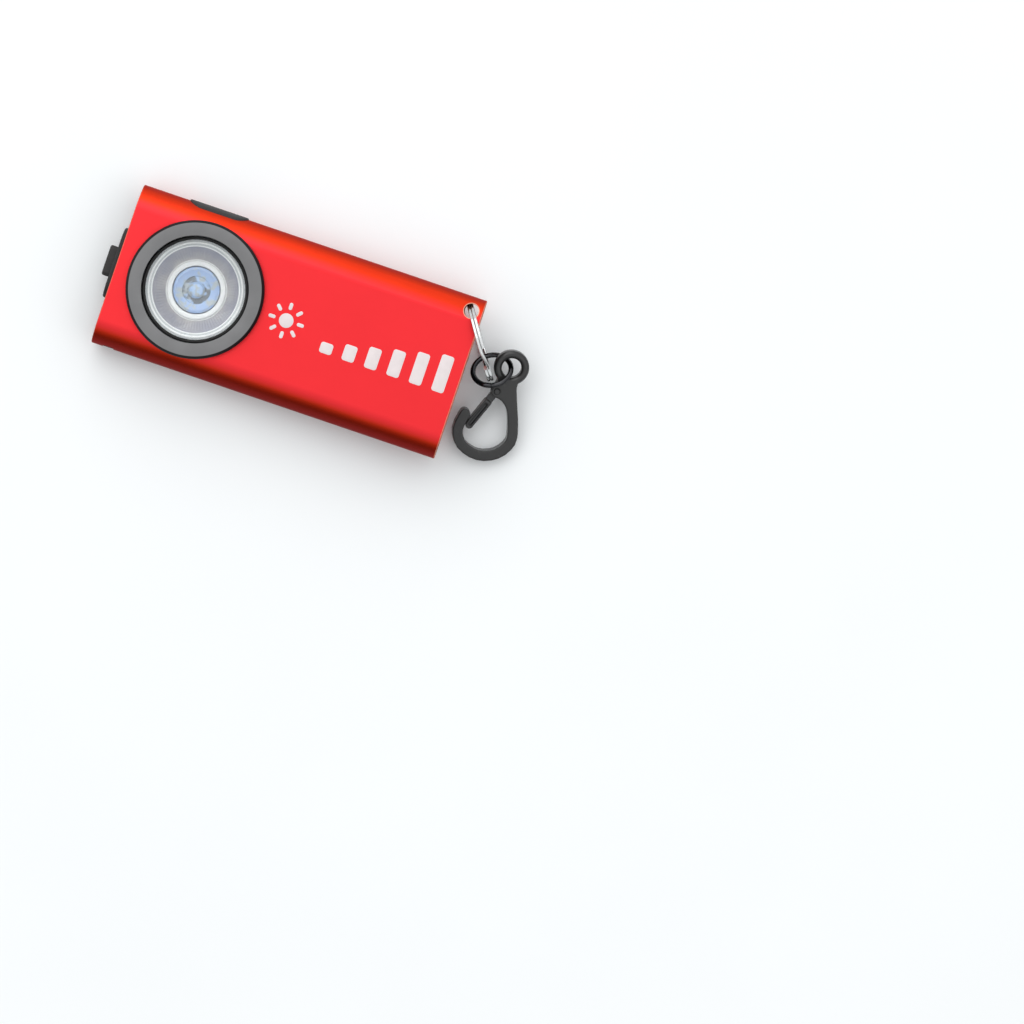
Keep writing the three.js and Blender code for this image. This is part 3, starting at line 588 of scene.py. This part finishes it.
END_ROUND = 0.14
COVER_GAP = 0.12
SNAP_X = -28
SNAP_WINDOW = rounded(2.0, 2.6, 0.35)
SNAP_LUG = rounded(1.8, 2.4, 0.3)
HOLLOW_Y = 12
SIDE_STEPS = 40
TOOL_LOW, TOOL_HIGH = -2, 12


def side_outline(inset):
    """The tube's cross-section in (Y, Z), made smaller all round by inset."""
    return moved(slot_loop(FLAT_Y, SIDE_R - inset, SIDE_STEPS), 0, MID_Z)


def hollow_extrusion():
    """The tube as rings from one end round the wall and back, with rounded cut edges."""
    stations = []
    quarter = [math.radians(15 * k) for k in range(7)]
    for sign in (1, -1):
        end = TUBE_HIGH.x if sign > 0 else TUBE_LOW.x
        outer = [
            (end - sign * END_ROUND * (1 - math.sin(a)), END_ROUND * (1 - math.cos(a)))
            for a in quarter
        ]
        inner = [(x, WALL - inset) for x, inset in reversed(outer)]
        stations += (outer + inner)[::sign]
    points = [(x, y, z) for x, inset in stations for y, z in side_outline(inset)]
    return solid("body_shell", points, ring_faces(len(stations), len(side_outline(0)), True))


def round_rims(obj, on_rim, width):
    """Rounds the edges whose two ends both lie on a rim."""
    work = bmesh.new()
    work.from_mesh(obj.data)
    rims = [e for e in work.edges if all(on_rim(v.co / MM) for v in e.verts)]
    bmesh.ops.bevel(work, geom=rims, offset=width * MM, segments=3, profile=0.5, affect="EDGES")
    work.to_mesh(obj.data)
    work.free()


def on_key_hole_mouth(point):
    """Whether a point of the tube is on the outer rim of the key-ring hole."""
    from_axis = (point.xy - HOLE.xy).length
    from_core = Vector((point.y - FLAT_Y, point.z - MID_Z)).length
    return abs(from_axis - HOLE_R) < 0.02 and from_core > SIDE_R - 0.1


def drill(name, centre, radius):
    """A round cutter through the tube's whole thickness."""
    profile = [(0, TOOL_LOW), (radius, TOOL_LOW), (radius, TOOL_HIGH), (0, TOOL_HIGH)]
    return lathe(name, profile, centre, 64)


def tube():
    cover_low, cover_high = corners("port_cover")
    port_x = (cover_low.x + cover_high.x) / 2
    cover_slot = oval(
        cover_high.x - cover_low.x + 2 * COVER_GAP,
        cover_high.z - cover_low.z + 2 * COVER_GAP,
    )
    opening = [(0, MID_Z), (COLLAR_R + 0.1, MID_Z), (COLLAR_R + 0.1, TOOL_HIGH), (0, TOOL_HIGH)]
    shell = carve(
        hollow_extrusion(),
        lathe("lens_tool", opening, segments=96),
        drill("drill_tool", HOLE.xy, HOLE_R),
        plate("port_tool", [moved(cover_slot, port_x, MID_Z)], HOLLOW_Y, TUBE_HIGH.y + 1, 0.01, "Y", 0),
        plate("snap_tool", [moved(SNAP_WINDOW, SNAP_X, MID_Z)], TUBE_LOW.y - 1, -HOLLOW_Y, 0.01, "Y", 0),
    )
    round_rims(shell, on_key_hole_mouth, 0.1)
    place(shell, RED, "housing", "anodised_red", "body_tube")


tube()

# ---------- end caps, pad and button ----------

CAP_GAP = WALL + 0.07
CAP_SUNK = 0.12
CAP_EDGE = 0.14
BUTTON_CAP_THICK = 2.0
BUTTON_DECK = (1.0, 3.4)
DECK_GAP = 1.4
PAD_RECESS = oval(12.8, 5.3)
FLANGE_WELL = rounded(7.0, 4.2, 0.7)

CORE_GAP = WALL + 0.6
POCKET = (28.5, 11.9)
POCKET_R = 2.2

PAD_WINDOW = rounded(5.65, 3.25, 0.8)
BUTTON_TIP = rounded(5.4, 3.0, 0.75)
BUTTON_FLANGE = rounded(6.5, 3.7, 0.7)
BUTTON_STEM = rounded(1.8, 1.8, 0.4)


def cap_outline(gap=CAP_GAP):
    return side_outline(gap)


def centred(loop):
    """A loop drawn in (Y, Z), lifted to the tube's middle."""
    return moved(loop, 0, MID_Z)


def button_end():
    """A face with the pad's recess, a deck behind it with the button's well, and the snap lug."""
    end = TUBE_LOW.x
    face_loops = [cap_outline(), centred(PAD_RECESS)]
    face = plate("button_cap_face", face_loops, end + CAP_SUNK, end + BUTTON_CAP_THICK, CAP_EDGE, "X")
    deck_loops = [cap_outline(DECK_GAP), centred(FLANGE_WELL)]
    deck = plate("button_cap_deck", deck_loops, end + BUTTON_DECK[0], end + BUTTON_DECK[1], 0.1, "X")
    lug_loops = [moved(SNAP_LUG, SNAP_X, MID_Z)]
    lug = plate("button_cap_lug", lug_loops, TUBE_LOW.y + CAP_SUNK, -HOLLOW_Y, 0.1, "Y")
    cap = joined("button_cap", face, deck, lug)
    place(cap, BLACK_PLASTIC, "housing", "black_plastic", "button_end_cap")


def ring_end():
    """A plain face and a narrower core behind it that carries the seal, both clear of the key-ring hole."""
    behind_seal = corners("ring_end_seal")[1].x + 0.1
    low = corners("ring_end_cap")[0].x
    face = plate("ring_cap_face", [cap_outline()], behind_seal, TUBE_HIGH.x - CAP_SUNK, CAP_EDGE, "X")
    core = plate("ring_cap_core", [cap_outline(CORE_GAP)], low, behind_seal + 0.3, 0.1, "X")
    for part in (face, core):
        carve(part, drill("pocket_tool", POCKET, POCKET_R))
    place(joined("ring_cap", face, core), BLACK_PLASTIC, "housing", "black_plastic", "ring_end_cap")


def pad_and_button():
    low, high = corners("button_pad")
    loops = [centred(oval(high.y - low.y, high.z - low.z)), centred(PAD_WINDOW)]
    pad = plate("rubber_pad", loops, low.x, high.x, 0.3, "X", 4)
    place(pad, RUBBER, "housing", "black_rubber", "button_pad")
    tip_low, stem_end = corners("power_button")
    end = TUBE_LOW.x
    tip = plate("button_tip", [centred(BUTTON_TIP)], tip_low.x, end + 1.2, 0.35, "X", 4)
    flange = plate("button_flange", [centred(BUTTON_FLANGE)], end + 0.98, end + 1.5, 0.1, "X")
    stem = plate("button_stem", [centred(BUTTON_STEM)], end + 1.4, stem_end.x, 0.1, "X")
    button = joined("push_button", tip, flange, stem)
    place(button, RUBBER, "button", "black_rubber", "power_button")


button_end()
ring_end()
pad_and_button()

# ---------- charging port ----------

COVER_EDGE = 0.28
COVER_FOOT_Y = 13.2
COVER_CURLS, COVER_RINGS, COVER_STEPS = 6, 10, 48
PLUG = oval(7.4, 2.0)
PLUG_RIB = oval(8.1, 2.5)

SOCKET_HIGH = 3.16
SOCKET_WALL = 0.3
SOCKET_GAP = 0.08
SURROUND_Y = 12.4


def cover_height(z, shrink, proud):
    """Y of the cover's face at a level z, rounded down towards its outline by the amount shrunk."""
    skin = FLAT_Y + math.sqrt((SIDE_R + proud) ** 2 - z * z)
    inward = min(1.0, shrink / COVER_EDGE)
    return skin - COVER_EDGE * (1 - math.sqrt(1 - (1 - inward) ** 2))


def seam(first, size):
    """Quads that close a loop of points across its long middle."""
    return [
        (first + j, first + j + 1, first + size - 2 - j, first + size - 1 - j)
        for j in range(size // 2 - 1)
    ]


def cover_skin(centre, long, tall, proud):
    """An oval patch of the tube's round side, standing slightly proud, as ever smaller loops."""
    step = math.radians(90 / (COVER_CURLS - 1))
    shrinks = [COVER_EDGE * (1 - math.cos(step * k)) for k in range(COVER_CURLS)]
    flat = tall / 2 - COVER_EDGE
    shrinks += [COVER_EDGE + flat * k / COVER_RINGS for k in range(1, COVER_RINGS + 1)]
    points = [(centre.x + x, COVER_FOOT_Y, MID_Z + z) for x, z in oval(long, tall, COVER_STEPS)]
    size = len(points)
    for shrink in shrinks:
        loop = slot_loop((long - tall) / 2, max(0.001, tall / 2 - shrink), COVER_STEPS)
        points += [(centre.x + x, cover_height(z, shrink, proud), MID_Z + z) for x, z in loop]
    faces = ring_faces(len(shrinks) + 1, size, False)
    faces.append(tuple(range(size)))
    faces += seam(len(shrinks) * size, size)
    return solid("cover_skin", points, faces)


def rubber_cover():
    """The flap, its plug and the rib round the plug."""
    low, high = corners("port_cover")
    centre = middle("port_cover")
    skin = cover_skin(centre, high.x - low.x, high.z - low.z, high.y - TUBE_HIGH.y)
    plug = plate("cover_plug", [moved(PLUG, centre.x, MID_Z)], low.y, COVER_FOOT_Y + 0.2, 0.2, "Y")
    rib = plate("cover_rib", [moved(PLUG_RIB, centre.x, MID_Z)], low.y + 0.45, low.y + 0.75, 0.12, "Y")
    place(joined("cover", skin, plug, rib), RUBBER, "cover", "black_rubber", "port_cover")


def charging_socket():
    """A drawn steel sleeve with a closed back."""
    low, high = corners("usb_shell")
    x, wide = middle("usb_shell").x, high.x - low.x
    outer = moved(oval(wide, SOCKET_HIGH), x, MID_Z)
    inner = moved(oval(wide - 2 * SOCKET_WALL, SOCKET_HIGH - 2 * SOCKET_WALL), x, MID_Z)
    shell = plate("socket_sleeve", [outer, inner], low.y, high.y, 0.1, "Y")
    back = plate("socket_back", [outer], low.y, low.y + 0.5, 0.05, "Y")
    place(joined("socket_shell", shell, back), STEEL, "housing", "nickel_steel", "usb_shell")


def port_surround():
    """The moulding between the socket and the tube."""
    low, high = corners("port_frame")
    socket_low, socket_high = corners("usb_shell")
    x = middle("usb_shell").x
    bore_wide = socket_high.x - socket_low.x + 2 * SOCKET_GAP
    edge = moved(oval(high.x - low.x, high.z - low.z), x, MID_Z)
    bore = moved(oval(bore_wide, SOCKET_HIGH + 2 * SOCKET_GAP), x, MID_Z)
    surround = plate("port_surround", [edge, bore], SURROUND_Y, high.y, 0.12, "Y")
    place(surround, BLACK_PLASTIC, "housing", "black_plastic", "port_frame")


rubber_cover()
charging_socket()
port_surround()

# ---------- lens stack ----------


def bezel():
    top, seat = BEZEL_HIGH.z, TUBE_HIGH.z + 0.05
    profile = filleted(
        [
            (COLLAR_R, BEZEL_LOW.z, 0.1),
            (COLLAR_R, seat, 0),
            (BEZEL_R, seat, 0.1),
            (BEZEL_R, top - BEZEL_CHAMFER - 0.05, 0.2),
            (BEZEL_R - BEZEL_CHAMFER, top, 0.1),
            (BEZEL_BORE_R, top, 0.13),
            (BEZEL_BORE_R, BEZEL_LOW.z, 0.1),
        ],
        0.1,
    )
    place(lathe("bezel", profile, segments=192), GREY, "housing", "bezel_grey", "bezel_ring", sharp=50)


def seal():
    low, high = corners("lens_seal")
    outer = (high.x - low.x) / 2
    inner = outer - 0.5
    profile = filleted([(inner, low.z), (outer, low.z), (outer, high.z), (inner, high.z)], 0.16)
    place(lathe("seal_ring", profile), SEAL_RUBBER, "housing", "black_rubber", "lens_seal", sharp=60)


def window():
    low, high = corners("lens_window")
    outer = (high.x - low.x) / 2
    profile = filleted([(0, low.z, 0), (outer, low.z), (outer, high.z), (0, high.z, 0)], 0.1)
    place(lathe("window", profile), WINDOW, "housing", "clear_window", "lens_window")


FLUTES = 84
FLUTE_DEEP = 0.035
CONE_IN, CONE_OUT = 4.95, 7.3
CONE_FOOT_Z = 4.85
CONE_STEPS = 8


def flute(radius, height, turn):
    """Shallow radial flutes that fade out at both ends of the cone."""
    if not CONE_IN < radius < CONE_OUT:
        return radius, height
    share = (radius - CONE_IN) / (CONE_OUT - CONE_IN)
    return radius, height + FLUTE_DEEP * math.sin(math.pi * share) * math.cos(FLUTES * turn)


def reflector():
    """A lipped dish: a white ridge, a slightly hollow cone and a collar round the spot optic."""
    low, high = corners("reflector")
    top, foot = high.z, low.z
    brim = top - 0.3
    shares = [k / CONE_STEPS for k in range(1, CONE_STEPS)]
    slope = [
        (CONE_OUT + (CONE_IN - CONE_OUT) * t, brim + (CONE_FOOT_Z - brim) * t**0.85)
        for t in shares
    ]
    profile = filleted(
        [
            (8.5, 6.9),
            (8.5, top - 0.15),
            (8.2, top - 0.15),
            (8.15, top),
            (7.9, top),
            (7.84, top - 0.12),
            (7.45, top - 0.12),
            (CONE_OUT, brim),
            *slope,
            (CONE_IN, CONE_FOOT_Z),
            (4.8, 5.3, 0.2),
            (4.1, 5.3, 0.15),
            (4.0, 5.1),
            (4.0, foot),
            (4.9, foot),
            (6.9, 6.6),
        ],
        0.06,
        3,
    )
    dish = lathe("reflector_dish", profile, segments=FLUTES * 6, shape=flute)
    place(dish, CONE, "housing", "reflector_plastic", "reflector", sharp=40)


def optic():
    """A stepped lens: a flat base with a seat, a ring-shaped trough and a domed centre."""
    top = corners("collimator_lens")[1].z
    base = [(0, 4.3), (1.9, 4.3), (1.9, 3.95), (3.85, 3.95), (3.85, 4.9)]
    trough = [(3.4, 5.05), (2.35, 4.85), (2.25, 4.6), (1.6, 4.7), (1.2, 5.05), (1.12, 5.3)]
    dome = [(0.8, top - 0.12), (0.4, top - 0.03), (0, top)]
    lens = lathe("optic", filleted(base + trough + dome, 0.1, 3), segments=96)
    place(lens, OPTIC, "housing", "clear_optic", "collimator_lens", sharp=60)


bezel()
seal()
window()
reflector()
optic()

# ---------- printed mark ----------

SUN_X = -0.4
SUN_R = 1.25
RAYS, RAY_FROM_CENTRE = 8, 2.55
RAY = rounded(1.25, 0.62, 0.3)
BARS, BAR_FIRST_X, BAR_PITCH = 6, 7.6, 4.05
BAR_WIDE, BAR_LOWEST, BAR_RISE = 2.2, 1.9, 0.92
BAR_FOOT_Y = -3.25
INK_SUNK, INK_PROUD = 0.02, 0.022


def sun_ray(turn):
    c, s = math.cos(turn), math.sin(turn)
    return [(SUN_X + x * c - y * s, x * s + y * c) for x, y in moved(RAY, RAY_FROM_CENTRE, 0)]


def bar(k):
    tall = BAR_LOWEST + BAR_RISE * k
    return moved(rounded(BAR_WIDE, tall, 0.45), BAR_FIRST_X + BAR_PITCH * k, tall / 2 + BAR_FOOT_Y)


def printed_mark():
    """A plain sun and a rising row of bars, as a brightness scale."""
    loops = [circle(SUN_X, 0, SUN_R, 48)]
    loops += [sun_ray(TAU * k / RAYS) for k in range(RAYS)]
    loops += [bar(k) for k in range(BARS)]
    face = TUBE_HIGH.z
    ink = plate("face_print", loops, face - INK_SUNK, face + INK_PROUD, 0.004, rounds=1)
    place(ink, PRINT, "housing", "white_plastic")


printed_mark()

# ---------- rings ----------

RING_HEADING = math.radians(-56)
RING_R = 6.4
RING_OFFSET = 5.5
COIL_OFFSET = 0.275
COIL_SECTION = [(-0.5, -0.262), (0.5, -0.262), (0.5, 0.262), (-0.5, 0.262)]
COIL_STEPS = 300
CROSSING = math.radians(62)
CROSSING_HALF = math.radians(16)
END_GAP = math.radians(1)

LINK_STEPS = 120
LINK_GAP = math.radians(0.9)


def crossing_share(turn):
    """How far the wire has passed from its first coil to its second, from 0 to 1."""
    share = (turn - CROSSING + CROSSING_HALF) / (2 * CROSSING_HALF)
    share = min(1.0, max(0.0, share))
    return share * share * (3 - 2 * share)


def split_ring():
    """Flat wire wound nearly twice, with a short crossing from one coil to the other."""
    heading = Vector((math.cos(RING_HEADING), math.sin(RING_HEADING), 0))
    up = Vector((0, 0, 1))
    axis = heading.cross(up)
    centre = HOLE + heading * RING_OFFSET
    start = CROSSING + CROSSING_HALF + END_GAP - TAU
    end = CROSSING - CROSSING_HALF - END_GAP + TAU
    stations = []
    for i in range(COIL_STEPS + 1):
        turn = start + (end - start) * i / COIL_STEPS
        side = COIL_OFFSET * (2 * crossing_share(turn) - 1)
        spoke = heading * math.cos(turn) + up * math.sin(turn)
        stations.append((centre + spoke * RING_R + axis * side, spoke, axis))
    ring = swept("key_ring", filleted(COIL_SECTION, 0.17, 4), stations)
    place(ring, STEEL, "ring", "nickel_steel", "split_ring", sharp=60)


def link_ring():
    """Round wire bent into a ring with a butt joint, at the place and size of the CAD's ring."""
    centre = middle("link_ring")
    spokes = [v.co / MM - centre for v in frame["nodes"]["link_ring"].data.vertices]
    longest = max(spokes, key=lambda s: s.length)
    shortest = min(spokes, key=lambda s: s.length)
    radius = (longest.length + shortest.length) / 2
    wire = (longest.length - shortest.length) / 2
    first = longest.normalized()
    second = max(spokes, key=lambda s: s.cross(first).length)
    normal = first.cross(second).normalized()
    across = normal.cross(first)
    stations = []
    for i in range(LINK_STEPS + 1):
        turn = LINK_GAP + (TAU - 2 * LINK_GAP) * i / LINK_STEPS
        spoke = first * math.cos(turn) + across * math.sin(turn)
        stations.append((centre + spoke * radius, spoke, normal))
    ring = swept("wire_link", circle(0, 0, wire, 20), stations)
    place(ring, BLACK_NICKEL, "link", "black_nickel", "link_ring", sharp=60)


split_ring()
link_ring()

# ---------- clip ----------


def cast_copy(node, name, voxel, rounds):
    """A fine copy of a CAD node with its edges melted round, as on a die casting."""
    turn = CLIP_NORMAL.rotation_difference(Vector((0, 0, 1))).to_matrix().to_4x4()
    mesh = frame["nodes"][node].data.copy()
    mesh.transform(turn)
    tidy_mesh(mesh)
    obj = link_object(name, mesh)
    remesh = obj.modifiers.new("remesh", "REMESH")
    remesh.mode = "VOXEL"
    remesh.voxel_size = voxel * MM
    smooth = obj.modifiers.new("smooth", "SMOOTH")
    smooth.factor = 0.5
    smooth.iterations = rounds
    bake_modifiers(obj)
    obj.data.transform(turn.inverted())
    return obj


def clip():
    body = cast_copy("clip_body", "clip_frame", 0.09, 8)
    place(body, CLIP_BLACK, "clip", "black_clip", "clip_body", sharp=180)
    gate = cast_copy("clip_gate", "clip_latch", 0.07, 5)
    place(gate, CLIP_BLACK, "gate", "black_clip", "clip_gate", sharp=180)


clip()

# ---------- pieces inside, which keep their CAD shapes ----------

WHITE_PLASTIC = plastic("white_plastic", (0.72, 0.72, 0.70), 0.5)
PHOSPHOR = plastic("led_phosphor", (0.80, 0.66, 0.12), 0.4)
BOARD_WHITE = plastic("board_white", (0.75, 0.76, 0.76), 0.35, 0.3)
BOARD_GREEN = plastic("board_green", (0.012, 0.10, 0.04), 0.3, 0.25)
THERMAL_PAD = rubber("thermal_pad", (0.20, 0.32, 0.52))
FOAM = rubber("foam_grey", (0.07, 0.07, 0.075), 0.3)
CAPACITOR = plastic("capacitor_tan", (0.32, 0.18, 0.07), 0.35)
CELL_FOIL = plated("cell_foil", (0.60, 0.61, 0.63), 0.3, 0.85)
WIRE_RED = plastic("wire_red", (0.42, 0.012, 0.012), 0.35)
WIRE_BLACK = plastic("wire_black", (0.012, 0.012, 0.012), 0.35)

INNER = [
    (RUBBER, "button_end_seal", "ring_end_seal"),
    (BLACK_PLASTIC, "switch_body", "charge_chip", "driver_chip", "usb_tongue", "battery_tray"),
    (WHITE_PLASTIC, "switch_plunger"),
    (PHOSPHOR, "led_emitter"),
    (BOARD_WHITE, "led_board"),
    (BOARD_GREEN, "main_board", "protection_board"),
    (THERMAL_PAD, "heat_pad"),
    (FOAM, "power_inductor", "battery_foam"),
    (CAPACITOR, "capacitor_1", "capacitor_2", "capacitor_3"),
    (CELL_FOIL, "battery_cell"),
    (WIRE_RED, "battery_lead_red"),
    (WIRE_BLACK, "battery_lead_black"),
    (CLIP_BLACK, "clip_gate_pin"),
]

for paint, *nodes in INNER:
    for node in nodes:
        target = frame["nodes"][node]
        target.data.materials.clear()
        target.data.materials.append(paint)

# ---------- floor, light and camera ----------

FLOOR_TILT = math.radians(2.35)
FLOOR_HALF = 2.0
FLOOR_DROP = 0.05


def floor():
    """The surface under the button end and the rings. Its own sizes are in metres."""
    signs = [(-1, -1), (1, -1), (1, 1), (-1, 1)]
    mesh = bpy.data.meshes.new("floor")
    mesh.from_pydata([(FLOOR_HALF * x, FLOOR_HALF * y, 0) for x, y in signs], [], [(0, 1, 2, 3)])
    obj = link_object("floor", mesh)
    obj.rotation_euler = (0, FLOOR_TILT, 0)
    obj.location = (TUBE_LOW.x * MM, 0, -FLOOR_DROP * MM)
    paint = Paint("floor", rough=0.7, Specular_IOR_Level=0.2)
    paint.set("Base Color", paint.vary((0.84, 0.86, 0.865), 60, 0.006))
    obj.data.materials.append(paint.material)


def lamp(name, place_at, size, power):
    """A square area lamp aimed at the middle of the frame. Place and size are in metres."""
    data = bpy.data.lights.new(name, "AREA")
    data.shape = "RECTANGLE"
    data.size, data.size_y = size, size
    data.energy = power
    obj = bpy.data.objects.new(name, data)
    bpy.context.scene.collection.objects.link(obj)
    obj.location = place_at
    obj.rotation_euler = (-Vector(place_at)).to_track_quat("-Z", "Y").to_euler()


def sky():
    """A soft surround, brighter overhead than at the horizon and on the port side than opposite."""
    world = bpy.data.worlds.new("surround")
    bpy.context.scene.world = world
    world.use_nodes = True
    nodes, links = world.node_tree.nodes, world.node_tree.links
    nodes.clear()
    output = nodes.new("ShaderNodeOutputWorld")
    background = nodes.new("ShaderNodeBackground")
    texture = nodes.new("ShaderNodeTexCoord")
    lean = nodes.new("ShaderNodeVectorMath")
    lean.operation = "DOT_PRODUCT"
    lean.inputs[1].default_value = (-0.15, 0.45, 0.88)
    fade = nodes.new("ShaderNodeMapRange")
    limits = {"From Min": -0.25, "From Max": 0.9, "To Min": 0.18, "To Max": 1.22}
    for name, number in limits.items():
        fade.inputs[name].default_value = number
    links.new(texture.outputs["Generated"], lean.inputs[0])
    links.new(lean.outputs["Value"], fade.inputs["Value"])
    links.new(fade.outputs["Result"], background.inputs["Strength"])
    background.inputs["Color"].default_value = (0.98, 0.99, 1, 1)
    links.new(background.outputs[0], output.inputs["Surface"])


CAMERA_AT = Vector((54.4, 0.1, 1340.5))
CAMERA_AIM = Vector((46.6, -18.6, 4.4))
CAMERA_ROLL = math.radians(18.77)
SENSOR, LENS_LENGTH = 36, 274.2


def camera():
    """High above a point beside the object and rolled, so that the tube lies at a slant in the picture."""
    data = bpy.data.cameras.new("camera")
    data.sensor_width = SENSOR
    data.lens = LENS_LENGTH
    data.clip_start, data.clip_end = 0.01, 20
    obj = bpy.data.objects.new("camera", data)
    bpy.context.scene.collection.objects.link(obj)
    forward = (CAMERA_AIM - CAMERA_AT).normalized()
    right = forward.cross(Vector((-math.sin(CAMERA_ROLL), math.cos(CAMERA_ROLL), 0))).normalized()
    obj.location = CAMERA_AT * MM
    obj.rotation_euler = Matrix((right, right.cross(forward), -forward)).transposed().to_euler()
    bpy.context.scene.camera = obj


floor()
sky()
lamp("key", (-0.30, 0.42, 0.55), 0.8, 2.4)
lamp("fill", (0.5, -0.1, 0.55), 0.5, 0.4)
camera()
bpy.context.scene.view_settings.view_transform = "Standard"
